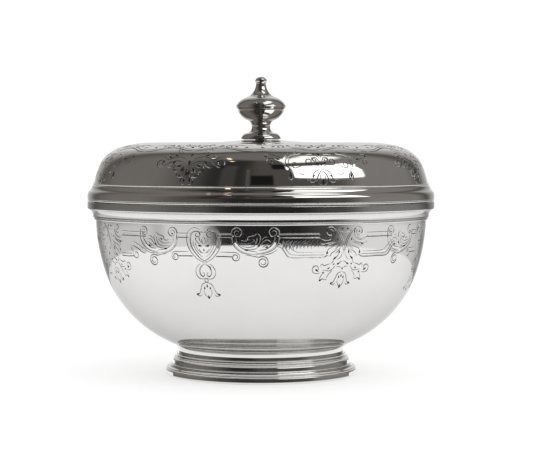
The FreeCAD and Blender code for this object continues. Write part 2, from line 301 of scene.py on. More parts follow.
def spline(points):
    """A smooth path through given points."""
    points = [np.array(point, float) for point in points]
    if len(points) == 2:
        length = np.hypot(*(points[1] - points[0]))
        return list(np.linspace(points[0], points[1], max(2, int(length / 2.5) + 2)))
    ends = [2 * points[0] - points[1]] + points + [2 * points[-1] - points[-2]]
    path = []
    for before, a, b, after in zip(ends, ends[1:], ends[2:], ends[3:]):
        steps = max(2, math.ceil(np.hypot(*(b - a)) / STROKE_STEP))
        for k in range(steps):
            t = k / steps
            path.append(0.5 * (2 * a + (b - before) * t + (2 * before - 5 * a + 4 * b - after) * t * t
                               + (3 * a - before - 3 * b + after) * t ** 3))
    return path + [points[-1]]


def cut(width, *points, taper=True):
    """A graver's V cut along a smooth path, thinning towards its ends."""
    path = spline(points)
    along = np.linspace(0, 1, len(path))
    swell = np.sin(np.pi * along) ** 0.5 * 0.85 + 0.15 if taper else np.ones(len(path))
    if taper:
        swell[0] = swell[-1] = 0
    return Stroke(path, 1.2 * width * swell)


def wedge(width, start, end):
    """A short deep accent, widest near its end, in the near-black painted shade of the deepest cuts."""
    path = np.linspace(start, end, 6)
    return Stroke(path, width * np.array([0, 0.35, 0.7, 1.0, 0.85, 0]), depth=0.5, finish_and_shade=ACCENT)


def strap(width, side, *points):
    """A broad, shallow, slanting cut that leaves a ribbon: deepest along one side, flat at the other."""
    path = spline(points)
    widths = np.full(len(path), width)
    return Stroke(path, widths, valley=0.72 * side, depth=0.07, finish_and_shade=BRIGHT)


def whorl(across, up, radius, start, turns, tail=0.3):
    """Points of a spiral that winds in from an angle; negative turns run clockwise."""
    steps = math.ceil(abs(turns) * 11)
    points = []
    for k in range(steps + 1):
        reach = radius * (1 - (1 - tail) * k / steps)
        angle = math.radians(start + 360 * turns * k / steps)
        points.append((across + reach * math.cos(angle), up + reach * math.sin(angle)))
    return points


def mirrored(strokes):
    """Strokes together with their mirror images."""
    return strokes + [stroke.moved(0, mirror=True) for stroke in strokes]


def lily(up, size, spread):
    """Half of a hanging bell flower: a side petal, half the middle petal and their dark accents."""
    def at(across, down):
        return across * size * spread, up - down * size
    return [
        cut(0.15, at(0.1, 0), at(1.75, 0.7), at(2.5, 2.2), at(3.2, 3.5), at(4.2, 4.1)),
        wedge(0.36, at(3.2, 3.65), at(4.7, 4.25)),
        cut(0.12, at(4.3, 4.4), at(3.1, 4.55), at(2.2, 3.9)),
        cut(0.14, at(1.35, 2.2), at(1.42, 3.6), at(0.8, 4.6), at(0, 5.35)),
        wedge(0.3, at(1.0, 1.3), at(1.08, 2.4))]


# ---------------------------------------------------------------- motifs of the bowl's band

UPPER_FINE, UPPER_STRAP, UPPER_BOLD = 51.35, 50.7, 50.0
LOWER_STRAP, LOWER_BOLD = 44.75, 44.05


def heart():
    """The heart-shaped cartouche with its palmette, lower loop, bead and bell flower."""
    half = [
        strap(0.5, 1, (-0.6, 42.05), (1.6, 43.1), (3.2, 44.6), (4.6, 46.6), (5.15, 48.4), (5.15, 50.4),
              (4.5, 51.8), (3.2, 52.5), (1.9, 52.4)),
        cut(0.12, (-0.2, 41.7), (2.3, 43.0), (3.95, 44.6), (5.1, 46.2), (5.75, 48.2), (5.75, 50.5),
            (5.0, 52.2), (3.5, 53.1), (2.0, 53.0), (0.9, 52.3)),
        cut(0.19, (-1.0, 42.1), (1.1, 43.1), (2.4, 44.3), (3.8, 46.2), (4.5, 48.2), (4.45, 50.2), (3.7, 51.7),
            *whorl(2.1, 51.0, 1.15, 60, 1.15)),
        cut(0.1, (0.5, 43.7), (1.8, 44.8), (3.0, 46.4), (3.6, 48.2), (3.5, 49.7)),
        cut(0.09, (0.7, 44.8), (1.9, 45.9), (2.7, 47.4), (2.9, 48.6)),
        cut(0.13, (1.4, 41.6), (2.6, 40.9), (3.4, 39.5), (3.3, 38.0), (2.4, 36.9), (1.2, 36.65), (0.3, 36.9)),
        strap(0.42, -1, (0.2, 41.9), (2.0, 40.9), (2.75, 39.4), (2.5, 38.0), (1.6, 37.2)),
        cut(0.2, (0.1, 41.5), (1.4, 40.7), (2.05, 39.4), (1.9, 38.2), (1.2, 37.5), (0.5, 37.8),
            (0.5, 38.5), (1.1, 38.8)),
        cut(0.1, (0.1, 45.0), (1.0, 45.4), (1.8, 46.5)),
        wedge(0.34, (0.35, 47.2), (2.0, 47.5)),
        cut(0.13, (0.0, 50.4), (0.6, 49.4), (0.3, 48.3), (0.0, 47.9)),
        cut(0.12, (0.5, 48.1), (1.2, 49.0), (1.5, 50.0), (0.9, 49.6)),
        cut(0.12, (1.2, 47.8), (2.3, 48.7), (2.8, 49.9), (2.0, 49.6)),
        cut(0.15, (0.0, 51.6), (0.8, 51.9), (1.2, 51.5)),
        *lily(35.55, 1.0, 0.97)]
    middle = [wedge(0.27, (0, 46.5), (0, 45.6)), cut(0.09, (0, 47.9), (0, 46.5)),
              wedge(0.3, (0, 35.1), (0, 33.8)), wedge(0.42, (0, 31.4), (0, 30.0)),
              cut(0.14, *whorl(0, 36.2, 0.62, 90, 1.0, tail=1.0), taper=False)]
    ends = [strap(0.3, 1, (4.6, LOWER_STRAP), (9.4, LOWER_STRAP)),
            cut(0.17, (4.1, LOWER_BOLD), (7.0, LOWER_BOLD), (9.25, 44.0), taper=False),
            cut(0.11, (5.2, 45.45), (9.0, 45.4), *whorl(10.5, 43.9, 1.45, 95, -0.35, tail=0.9)),
            cut(0.17, *whorl(10.5, 43.85, 1.4, 40, -1.35, tail=0.35)),
            strap(0.38, 1, (5.7, UPPER_STRAP), (9.0, UPPER_STRAP)),
            cut(0.1, (5.6, UPPER_FINE), (9.0, UPPER_FINE), taper=False),
            cut(0.17, (5.5, UPPER_BOLD), (9.0, UPPER_BOLD), taper=False)]
    return mirrored(half) + middle + mirrored(ends)


def leaf_scroll():
    """The C-shaped scroll that holds a leaf, between two volutes, with a curled tail below."""
    return [
        cut(0.15, (-1.2, 44.5), (-4.4, 45.3), (-6.4, 46.8), (-7.5, 48.7), (-7.5, 50.6),
            *whorl(-5.8, 51.5, 1.9, 190, -1.45)),
        strap(0.42, 1, (0.6, 44.9), (-3.6, 45.7), (-5.7, 47.1), (-6.8, 48.8), (-6.95, 50.4)),
        cut(0.13, (0.8, 45.5), (-1.6, 45.9), (-4.2, 46.7), (-5.9, 48.2), (-6.3, 50.2)),
        cut(0.15, (0.2, 44.7), (2.6, 45.1), (4.8, 45.8), (6.5, 47.1), (7.5, 48.9), (7.55, 50.6),
            *whorl(5.8, 51.6, 1.85, -10, 1.45)),
        strap(0.42, -1, (0.2, 45.3), (3.2, 45.9), (5.2, 46.9), (6.5, 48.6), (6.95, 50.4)),
        cut(0.16, (0.9, 46.1), (3.2, 46.4), (5.0, 47.6), (6.1, 49.2), (6.2, 50.4)),
        cut(0.18, (-3.4, 44.6), (-1.2, 44.3), (0.8, 43.9), *whorl(2.4, 42.25, 1.9, 95, -1.75)),
        strap(0.34, 1, (-0.6, 44.7), (1.6, 44.35), (3.6, 43.9), (4.5, 42.7)),
        cut(0.11, (1.4, 44.6), (3.4, 44.7), (5.4, 45.3), (7.2, 46.5)),
        cut(0.14, (0.6, 51.5), (1.5, 50.4), (1.5, 49.0), (0.8, 47.4)),
        cut(0.14, (0.6, 51.5), (-0.4, 50.7), (-2.0, 50.3), (-2.6, 49.6), (-1.6, 49.2)),
        cut(0.12, (-4.6, 49.2), (-3.2, 48.9), (-2.2, 49.6)),
        cut(0.12, (-5.3, 48.4), (-3.4, 48.0), (-1.6, 48.2), (-0.4, 49.2)),
        cut(0.12, (-4.6, 47.4), (-2.4, 47.0), (-0.4, 47.5), (0.4, 48.8), (0.5, 50.2)),
        cut(0.11, (-2.8, 46.4), (-0.6, 46.4), (0.9, 47.1)),
        cut(0.12, (1.6, 47.2), (2.4, 48.6), (3.6, 49.3), (4.6, 49.0), (4.9, 48.2)),
        cut(0.12, (2.0, 46.9), (3.2, 47.6), (4.3, 48.4)),
        cut(0.11, (2.0, 49.2), (3.0, 50.2), (4.0, 50.2)),
        cut(0.1, (-1.0, 49.8), (-0.2, 48.8), (0.0, 47.8)),
        wedge(0.34, (-3.7, 46.1), (-2.3, 46.2)), wedge(0.34, (0.5, 47.0), (1.5, 47.9)),
        wedge(0.28, (-1.9, 48.8), (-1.2, 49.6)), wedge(0.3, (2.9, 46.9), (4.1, 47.2)),
        wedge(0.26, (-5.4, 51.3), (-6.2, 50.9)), wedge(0.26, (5.4, 51.4), (6.2, 51.0))]


def acanthus():
    """The pair of acanthus leaves with volutes above and a bell flower hanging between two sprays."""
    half = [
        cut(0.15, (9.2, 50.0), (7.6, 49.2), (5.9, 49.1), (4.4, 49.8), *whorl(5.3, 51.8, 1.8, 205, -1.5)),
        strap(0.4, 1, (8.8, 50.6), (7.4, 49.9), (5.9, 49.8), (4.7, 50.5)),
        cut(0.12, (0.35, 45.4), (0.65, 47.4), (1.45, 49.8), (2.6, 51.6), (3.6, 52.9)),
        strap(0.34, -1, (0.2, 46.2), (0.5, 47.8), (1.2, 49.8), (2.3, 51.6), (3.2, 52.8)),
        cut(0.12, (-0.2, 46.2), (0.2, 47.8), (0.85, 49.6), (1.8, 51.3), (2.8, 52.6)),
        cut(0.1, (-0.1, 51.5), (1.4, 51.8), (2.9, 52.8)),
        wedge(0.3, (1.6, 52.5), (0.5, 52.9)),
        cut(0.13, (2.7, 49.7), (4.4, 48.5), (6.4, 48.1), (8.1, 47.9), (9.0, 48.7)),
        cut(0.13, (2.9, 48.6), (4.8, 47.9), (6.2, 47.4), (7.0, 46.6)),
        cut(0.12, (2.3, 47.5), (4.2, 46.9), (5.6, 46.3), (6.2, 45.4)),
        cut(0.12, (1.9, 46.3), (3.2, 45.7), (4.5, 44.9), (5.1, 44.0), (6.2, 44.2)),
        cut(0.1, (1.3, 48.4), (2.4, 47.0), (3.6, 45.9)),
        cut(0.1, (1.2, 46.9), (2.2, 45.6), (3.3, 44.7)),
        cut(0.13, (1.9, 44.8), (2.5, 43.8), (3.5, 43.2), (3.8, 42.1), (4.6, 41.5)),
        cut(0.1, (0.6, 45.2), (0.9, 43.9), (1.8, 43.0), (2.6, 42.7)),
        cut(0.12, (0.0, 42.3), (0.9, 42.1), (1.6, 41.5)), cut(0.12, (0.3, 40.0), (1.3, 40.6), (2.5, 40.4)),
        cut(0.14, (4.6, 41.5), (5.6, 41.3), (6.7, 40.9), (7.5, 41.4), (8.0, 41.0), (7.8, 40.3)),
        cut(0.12, (2.6, 40.9), (4.4, 39.3), (5.9, 39.3), (7.3, 39.5)),
        cut(0.15, (7.8, 38.6), (9.0, 38.4), *whorl(9.6, 39.9, 1.45, -80, 0.95, tail=0.45)),
        cut(0.13, (6.9, 38.5), (7.7, 37.4), (7.9, 36.3), (6.9, 36.6), (5.9, 36.3), (5.2, 36.4)),
        cut(0.11, (3.6, 39.4), (4.7, 38.3), (5.4, 37.2), (5.3, 36.5)),
        wedge(0.33, (6.0, 45.9), (6.25, 44.5)), wedge(0.3, (1.65, 46.0), (1.85, 44.7)),
        wedge(0.34, (2.4, 43.9), (3.7, 42.9)), wedge(0.3, (1.0, 41.8), (2.3, 41.2)),
        wedge(0.26, (2.9, 41.5), (3.7, 41.2)), wedge(0.3, (8.5, 38.9), (9.9, 39.8)),
        wedge(0.28, (6.4, 38.4), (7.3, 38.8)), wedge(0.32, (7.0, 36.6), (8.2, 35.9)),
        wedge(0.26, (4.6, 40.3), (5.6, 39.8)), wedge(0.28, (2.7, 49.9), (2.5, 48.9)),
        wedge(0.26, (6.2, 48.0), (7.3, 47.5)), wedge(0.26, (5.0, 51.4), (5.8, 52.0)),
        *lily(38.9, 0.95, 0.88)]
    middle = [wedge(0.42, (0, 34.9), (0, 33.3)), cut(0.1, (0, 47.2), (0, 44.2)),
              wedge(0.26, (0, 40.5), (0, 39.4)), wedge(0.26, (0, 38.2), (0, 37.0))]
    return mirrored(half) + middle


# ---------------------------------------------------------------- motifs of the lid

def lid_leaf():
    """The pointed leaf with a scrolled crest, hanging between two drops."""
    half = [
        cut(0.17, (0, -0.1), (1.3, 0.9), (1.9, 2.2), (1.4, 3.6), (0.5, 4.8), (0.0, 5.6)),
        cut(0.14, (0.2, 5.8), (1.6, 5.2), (2.9, 4.2), (3.2, 2.9), (4.1, 2.0), (5.3, 2.0)),
        cut(0.14, (1.9, 2.0), (3.0, 1.2), (4.2, 1.3), (4.9, 2.1)),
        cut(0.12, (0.5, 1.6), (0.9, 2.8), (0.5, 4.0)),
        wedge(0.3, (1.6, 1.3), (3.1, 0.9)), wedge(0.3, (2.3, 3.6), (3.6, 3.1)),
        cut(0.17, (0.1, 6.2), (1.6, 6.9), (3.5, 7.1), *whorl(4.0, 8.3, 1.3, -80, 1.15)),
        cut(0.17, (0.0, 8.0), (0.8, 8.9), *whorl(1.9, 9.0, 1.0, 130, -1.0), (3.4, 10.4)),
        cut(0.13, (0.0, 9.6), (1.2, 10.8), (3.0, 11.4), (5.0, 11.0)),
        wedge(0.34, (0.4, 7.4), (1.9, 7.9)), wedge(0.28, (3.0, 8.6), (2.7, 9.7)),
        cut(0.2, (10.5, 5.2), (10.0, 4.2), (9.6, 3.0), (10.4, 2.0), (11.2, 3.0), (10.8, 4.2), (10.5, 5.2)),
        wedge(0.42, (10.45, 4.6), (10.4, 2.6)),
        cut(0.16, (5.6, 7.6), (7.0, 6.6), (8.8, 6.0), *whorl(8.9, 7.1, 1.15, -90, 1.1)),
        cut(0.16, (10.4, 5.2), (11.8, 6.8), (11.9, 9.0), (9.8, 10.8), (7.2, 11.4), (5.4, 12.6)),
        cut(0.11, (10.0, 6.2), (10.9, 7.3), (10.9, 8.9), (9.2, 10.2), (6.8, 10.6)),
        strap(0.5, 1, (11.4, 5.6), (12.4, 7.4), (12.3, 9.4), (10.4, 11.4), (8.0, 12.2)),
        cut(0.15, (8.2, 4.5), (6.6, 3.8), (5.8, 4.3)),
        cut(0.15, (12.6, 7.8), (14.6, 8.4), (16.4, 9.6), *whorl(17.0, 8.2, 1.4, 110, -1.2)),
        cut(0.12, (13.0, 9.6), (14.8, 10.4), (16.8, 11.4), (18.8, 11.2)),
        wedge(0.34, (13.6, 8.9), (15.3, 9.4)), wedge(0.3, (17.9, 9.9), (19.0, 10.6))]
    middle = [wedge(0.5, (0, 2.6), (0, 0.3)), wedge(0.32, (0, 6.4), (0, 7.7)),
              cut(0.1, (0, 3.0), (0, 5.2)), wedge(0.4, (0, 10.2), (0, 12.0))]
    return mirrored(half) + middle


def lid_shell():
    """The acanthus shell with foliage scrolls to each side."""
    half = [
        cut(0.17, (0, 0.1), (1.6, 0.5), (2.3, 1.7), (1.7, 2.8), (2.9, 2.6), (4.0, 3.4), (3.6, 4.8)),
        cut(0.15, (3.4, 4.6), (4.9, 4.6), (5.6, 5.9), (4.6, 7.0), (3.2, 7.1)),
        cut(0.13, (0.6, 1.4), (0.9, 3.0), (0.5, 4.8)), cut(0.12, (1.5, 3.0), (1.7, 4.4), (1.1, 5.8)),
        cut(0.12, (2.7, 4.2), (2.5, 5.4), (1.6, 6.5)), cut(0.11, (4.4, 5.9), (3.2, 6.2), (2.1, 6.9)),
        wedge(0.4, (0.5, 5.6), (0.4, 3.3)), wedge(0.4, (1.7, 6.4), (2.2, 4.7)),
        wedge(0.38, (2.6, 7.2), (4.2, 6.2)), wedge(0.36, (1.1, 2.6), (1.0, 1.2)),
        wedge(0.34, (2.6, 4.0), (3.2, 3.0)), wedge(0.34, (4.3, 5.4), (5.2, 5.1)),
        cut(0.17, (0.1, 6.8), (1.6, 7.7), (3.8, 8.4), (6.4, 8.2), (8.6, 7.2), (10.2, 6.2),
            *whorl(11.2, 7.6, 1.6, -110, 1.3)),
        strap(0.5, -1, (0.4, 7.7), (2.4, 8.7), (4.6, 9.2), (7.0, 8.9), (9.4, 7.7)),
        cut(0.14, (1.0, 9.0), (3.4, 10.0), (6.0, 10.0), (8.6, 9.0), (10.4, 9.9), (12.6, 10.2)),
        cut(0.13, (5.4, 7.6), (6.4, 6.4), (7.8, 5.9), (8.9, 6.4)),
        cut(0.12, (4.6, 8.9), (5.6, 10.8), (7.4, 11.7), (9.2, 11.2), (8.6, 10.2)),
        wedge(0.36, (4.9, 8.6), (6.4, 7.4)), wedge(0.34, (7.2, 9.5), (8.8, 10.4)),
        wedge(0.32, (9.4, 7.9), (10.6, 8.5)), wedge(0.32, (5.0, 10.4), (6.6, 11.0)),
        cut(0.16, (3.8, 11.2), (6.2, 12.8), (6.8, 14.8), (8.0, 16.6), (10.6, 17.8)),
        cut(0.11, (2.8, 11.4), (5.2, 13.2), (5.9, 15.2), (7.2, 17.2), (9.8, 18.6))]
    middle = [wedge(0.46, (0, 6.4), (0, 8.8)), cut(0.12, (0, 1.0), (0, 5.8)),
              wedge(0.4, (0, 10.0), (0, 11.8))]
    return mirrored(half) + middle


def crown_band():
    """Foliage and straps on the lid's shoulder, one eighth of the way round."""
    half = [
        cut(0.24, (0.0, 13.2), (3.0, 13.6), (6.4, 14.8), (10.0, 15.4), (14.0, 14.6), (18.0, 13.2),
            (22.45, 12.8)),
        cut(0.17, (0.0, 14.2), (3.0, 14.7), (6.4, 15.9), (10.0, 16.5), (14.0, 15.7), (18.0, 14.3),
            (22.45, 13.9)),
        cut(0.24, (22.45, 17.6), (19.0, 17.8), (16.0, 18.6), (13.0, 18.4), *whorl(12.8, 16.9, 1.5, 90, 1.2)),
        cut(0.22, (1.0, 18.6), (3.6, 18.0), (5.0, 16.9), *whorl(5.6, 18.2, 1.2, -120, -1.1)),
        cut(0.2, (0.4, 16.4), (1.8, 17.4), (3.4, 16.9), (4.4, 15.9)),
        wedge(0.55, (0.8, 15.4), (2.6, 16.3)), wedge(0.55, (8.6, 17.2), (10.4, 18.2)),
        wedge(0.5, (14.6, 17.4), (16.2, 16.4)), wedge(0.5, (18.4, 15.2), (20.2, 16.2))]
    return mirrored(half) + [wedge(0.55, (0, 16.2), (0, 18.6))]


# ---------------------------------------------------------------- cutting the engraving into a wall

SECTORS = 4
COLUMNS = ROUND_STEPS // SECTORS
PER_COLUMN = 2 * math.pi * NECK / ROUND_STEPS
PERIOD = PER_COLUMN * COLUMNS
GRID_GAP, LEAST_DEPTH = 0.35, 0.002


def clipped(line, left, right):
    """The runs of a polyline that lie between two uprights, cut exactly at them."""
    runs, run = [], []
    for a, b in zip(line, line[1:]):
        step = b[0] - a[0]
        cuts = sorted(t for t in ((left - a[0]) / step, (right - a[0]) / step) if 0 < t < 1) if step else []
        stops = [0.0, *cuts, 1.0]
        for low, high in zip(stops, stops[1:]):
            middle = a + (b - a) * (low + high) / 2
            if left <= middle[0] <= right:
                start, end = a + (b - a) * low, a + (b - a) * high
                if run and np.hypot(*(run[-1] - start)) < 1e-7:
                    run.append(end)
                else:
                    runs.append(run)
                    run = [start, end]
    return [found for found in runs + [run] if len(found) > 1]


def cut_depth(places, strokes):
    """Depth of the engraving at each place, and the darkest painted shade of the cuts that meet there, as a
    material slot.
    """
    depth, finish_and_shade = np.zeros(len(places)), np.zeros(len(places), int)
    for stroke in strokes:
        reach = stroke.widths.max()
        low, high = stroke.path.min(0) - reach, stroke.path.max(0) + reach
        near = np.nonzero(((places > low) & (places < high)).all(1))[0]
        if not len(near):
            continue
        start, along = stroke.path[:-1], np.diff(stroke.path, axis=0)
        offset = places[near][:, None] - start
        share = np.clip((offset * along).sum(2) / np.maximum((along ** 2).sum(1), 1e-12), 0, 1)
        away = offset - share[:, :, None] * along
        distance = np.hypot(away[:, :, 0], away[:, :, 1])
        nearest = distance.argmin(1)
        row = np.arange(len(near))
        share, distance = share[row, nearest], distance[row, nearest]
        cross = along[nearest, 0] * offset[row, nearest, 1] - along[nearest, 1] * offset[row, nearest, 0]
        width = stroke.widths[nearest] * (1 - share) + stroke.widths[nearest + 1] * share
        across = np.sign(cross) * distance / np.maximum(width, 1e-6)
        shape = np.where(across < stroke.valley, (across + 1) / (1 + stroke.valley),
                         (1 - across) / (1 - stroke.valley))
        deep = stroke.depth * width * np.clip(shape, 0, 1)
        touched = near[deep > 0]
        finish_and_shade[touched] = np.maximum(finish_and_shade[touched], stroke.finish_and_shade)
        depth[near] = np.maximum(depth[near], deep)
    return depth, finish_and_shade


def engrave(fabric, strokes, sectors, surface, low, high, first_column, rows):
    """Fill some quarters of a wall's zone with engraved skin; surface gives radius, height and normal."""
    left = first_column * PER_COLUMN
    right = left + PERIOD
    strokes = [stroke.moved(shift) for stroke in strokes for shift in (-PERIOD, 0, PERIOD)]
    strokes = [stroke for stroke in strokes
               if stroke.path[:, 0].max() > left - 1 and stroke.path[:, 0].min() < right + 1]
    points, edges = [], []

    def add(line):
        for run in clipped(line, left, right):
            first = len(points)
            points.extend(run)
            edges.extend((k, k + 1) for k in range(first, len(points) - 1))

    for stroke in strokes:
        along = np.gradient(stroke.path, axis=0)
        side = np.stack([-along[:, 1], along[:, 0]], 1) / np.hypot(along[:, 0], along[:, 1])[:, None]
        for offset in (-1, stroke.valley, 1):
            add(stroke.path + side * (offset * stroke.widths)[:, None])
    grid = [(left + PER_COLUMN * column, low + (high - low) * row / rows)
            for row in range(rows + 1) for column in range(COLUMNS + 1)]
    drawn = np.array(points)
    for place in grid:
        on_border = place[1] in (low, high) or place[0] in (left, right)
        if on_border or np.hypot(*(drawn - place).T).min() > GRID_GAP:
            points.append(np.array(place))
    corners = [(left, low), (right, low), (right, high), (left, high)]
    base = len(points)
    points.extend(np.array(corner) for corner in corners)
    edges.extend((base + k, base + (k + 1) % 4) for k in range(4))
    found, _, triangles, _, _, _ = delaunay_2d_cdt(
        [Vector(point) for point in points], edges, [], 0, 1e-5)
    places = np.array([(point.x, point.y) for point in found])
    depth, _ = cut_depth(places, strokes)
    middles = np.array([places[triangle].mean(0) for triangle in triangles])
    middle_depth, finish_and_shade = cut_depth(middles, strokes)
    skin = [surface(up) for up in places[:, 1]]
    for sector in sectors:
        turn = 2 * math.pi * sector / SECTORS
        spots, normals = [], []
        for (across, _), (radius, height, out, rise), deep in zip(places, skin, depth):
            angle = across / NECK + turn
            spots.append(around(radius - out * deep, height - rise * deep, angle))
            normals.append(around(out, rise, angle))
        for triangle, depth_here, finish_and_shade_here in zip(triangles, middle_depth, finish_and_shade):
            corners = [spots[k] for k in triangle]
            # Faces inside a cut get flat normals and the slot of their darkest cut, whose colour is painted
            # shade.
            if depth_here > LEAST_DEPTH:
                a, b, c = (np.array(corner) for corner in corners)
                flat = np.cross(b - a, c - a)
                length = np.linalg.norm(flat)
                if length < 1e-9:
                    continue
                fabric.face(corners, [flat / length] * 3, int(finish_and_shade_here))
            else:
                fabric.face(corners, [normals[k] for k in triangle], BRIGHT)


def marked(stretches, low, high):
    """The section with its outward-facing stretches between two heights left for the engraving."""
    for piece in stretches:
        ends = piece.start[1], piece.end[1]
        if low - 1e-4 <= min(ends) and max(ends) <= high + 1e-4 and piece.end[1] > piece.start[1] + 1e-9:
            piece.cut = piece.normal_start[0] + piece.normal_start[1] > 0.2
    return stretches


# ---------------------------------------------------------------- materials

def node(tree, kind, **values):
    """A new shader node with values for its sockets, each named by its keyword."""
    made = tree.nodes.new(kind)
    for name, value in values.items():
        made.inputs[name.replace("_", " ")].default_value = value
    return made


def noise_map(tree, scale, detail, low, high):
    """Noise in object space, stretched by a scale along each axis and mapped to a range."""
    place = tree.nodes.new("ShaderNodeTexCoord")
    stretch = tree.nodes.new("ShaderNodeMapping")
    stretch.inputs["Scale"].default_value = scale
    cloud = node(tree, "ShaderNodeTexNoise", Scale=1.0, Detail=detail, Roughness=0.6)
    ranged = tree.nodes.new("ShaderNodeMapRange")
    ranged.inputs["From Min"].default_value = 0.3
    ranged.inputs["From Max"].default_value = 0.7
    ranged.inputs["To Min"].default_value = low
    ranged.inputs["To Max"].default_value = high
    tree.links.new(place.outputs["Object"], stretch.inputs["Vector"])
    tree.links.new(stretch.outputs["Vector"], cloud.inputs["Vector"])
    tree.links.new(cloud.outputs["Fac"], ranged.inputs["Value"])
    return ranged.outputs["Result"]


def silver(name, bright, dull, rough, scratch, edge=1.0):
    """Polished silver: slight cloudy tarnish, uneven polish, fine wiping scratches and turning marks."""
    material = bpy.data.materials.new(name)
    material.use_nodes = True
    tree = material.node_tree
    shader = tree.nodes["Principled BSDF"]
    shader.inputs["Metallic"].default_value = 1.0
    shader.inputs["Specular Tint"].default_value = (edge, edge, edge, 1)
    tint = tree.nodes.new("ShaderNodeMix")
    tint.data_type = "RGBA"
    tint.inputs["A"].default_value = (*dull, 1)
    tint.inputs["B"].default_value = (*bright, 1)
    tree.links.new(noise_map(tree, (38, 38, 60), 5, 0.0, 1.0), tint.inputs["Factor"])
    tree.links.new(tint.outputs["Result"], shader.inputs["Base Color"])
    polish = noise_map(tree, (90, 90, 130), 6, rough * 0.75, rough * 1.35)
    tree.links.new(polish, shader.inputs["Roughness"])
    marks = noise_map(tree, (25, 25, 1400), 2, 0.0, 1.0)
    wiping = noise_map(tree, (900, 60, 500), 3, 0.0, 1.0)
    summed = tree.nodes.new("ShaderNodeMath")
    summed.operation = "ADD"
    tree.links.new(marks, summed.inputs[0])
    tree.links.new(wiping, summed.inputs[1])
    relief = tree.nodes.new("ShaderNodeBump")
    relief.inputs["Strength"].default_value = scratch
    relief.inputs["Distance"].default_value = 0.00002
    tree.links.new(summed.outputs[0], relief.inputs["Height"])
    tree.links.new(relief.outputs["Normal"], shader.inputs["Normal"])
    return material


def graving_with_painted_shade(name, shade_tone, shine):
    """The inside of an engraved cut: rougher than the polished skin round it, its colour darkened as painted
    shade.
    """
    material = bpy.data.materials.new(name)
    material.use_nodes = True
    tree = material.node_tree
    shader = tree.nodes["Principled BSDF"]
    shader.inputs["Metallic"].default_value = shine
    tint = tree.nodes.new("ShaderNodeMix")
    tint.data_type = "RGBA"
    tint.inputs["A"].default_value = (*[shade_tone * 0.6] * 3, 1)
    tint.inputs["B"].default_value = (*[shade_tone * 1.5] * 3, 1)
    tree.links.new(noise_map(tree, (700, 700, 700), 4, 0.0, 1.0), tint.inputs["Factor"])
    tree.links.new(tint.outputs["Result"], shader.inputs["Base Color"])
    tree.links.new(noise_map(tree, (1500, 1500, 1500), 3, 0.16, 0.3), shader.inputs["Roughness"])
    return material


# Painted shade: the bowl's silver is coloured darker than the lid's and foot's, with a duller edge tint, to
# dim its reflections.
SHADED_BOWL_SILVER = silver("bowl_silver", (0.735, 0.73, 0.722), (0.70, 0.695, 0.685), 0.06, 0.05, edge=0.72)
LID_SILVER = silver("lid_silver", (0.84, 0.825, 0.80), (0.78, 0.76, 0.735), 0.045, 0.035)
FOOT_SILVER = silver("foot_silver", (0.84, 0.83, 0.81), (0.77, 0.76, 0.745), 0.04, 0.010)
FINIAL_SILVER = silver("finial_silver", (0.86, 0.845, 0.82), (0.72, 0.705, 0.68), 0.085, 0.12)
INNER_SILVER = silver("inner_silver", (0.80, 0.79, 0.77), (0.70, 0.69, 0.67), 0.16, 0.15)
FIXING_SILVER = silver("fixing_silver", (0.74, 0.72, 0.69), (0.60, 0.58, 0.55), 0.22, 0.2)
# Painted shade: cut faces are coloured dark grey and the accents near black, for the shade in the grooves.
SHADED_CUT_LINE = graving_with_painted_shade("engraved_line_painted_shade", 0.40, 1.0)
SHADED_CUT_ACCENT = graving_with_painted_shade("engraved_accent_painted_shade", 0.05, 0.7)


# ---------------------------------------------------------------- bowl

BELLY_TOP_RADIUS = NECK - UPPER_ARC * (1 - math.sin(BELLY_ANGLE))
BELLY_LOW_RADIUS = BELLY_TOP_RADIUS - BELLY_ARC * (math.sin(BELLY_ANGLE) - math.sin(BASE_ANGLE))
BASE_RADIUS = BELLY_LOW_RADIUS - BASE_ARC * math.sin(BASE_ANGLE)
BELLY_LOW = BOWL_BOTTOM + BASE_ARC * (1 - math.cos(BASE_ANGLE))
BELLY_TOP = BELLY_LOW + BELLY_ARC * (math.cos(BASE_ANGLE) - math.cos(BELLY_ANGLE))
UPRIGHT_FROM = BELLY_TOP + UPPER_ARC * math.cos(BELLY_ANGLE)
MOUTH = NECK - BOWL_WALL
BAND_LOW, BAND_HIGH = 28.6, 53.9


def bowl_skin(up):
    """Radius, height and outward normal of the bowl's outside at a height."""
    if up >= BELLY_TOP:
        centre, middle, arc = NECK - UPPER_ARC, UPRIGHT_FROM, UPPER_ARC
    else:
        centre, arc = BELLY_TOP_RADIUS - BELLY_ARC * math.sin(BELLY_ANGLE), BELLY_ARC
        middle = BELLY_TOP + BELLY_ARC * math.cos(BELLY_ANGLE)
    rise = (up - middle) / arc
    out = math.sqrt(1 - rise * rise)
    return centre + arc * out, up, out, rise


def under_bowl(radius):
    """Height of the bowl's underside at a radius on its base arc, less the solder."""
    return BOWL_BOTTOM + BASE_ARC - math.sqrt((BASE_ARC + SOLDER) ** 2 - (radius - BASE_RADIUS) ** 2)


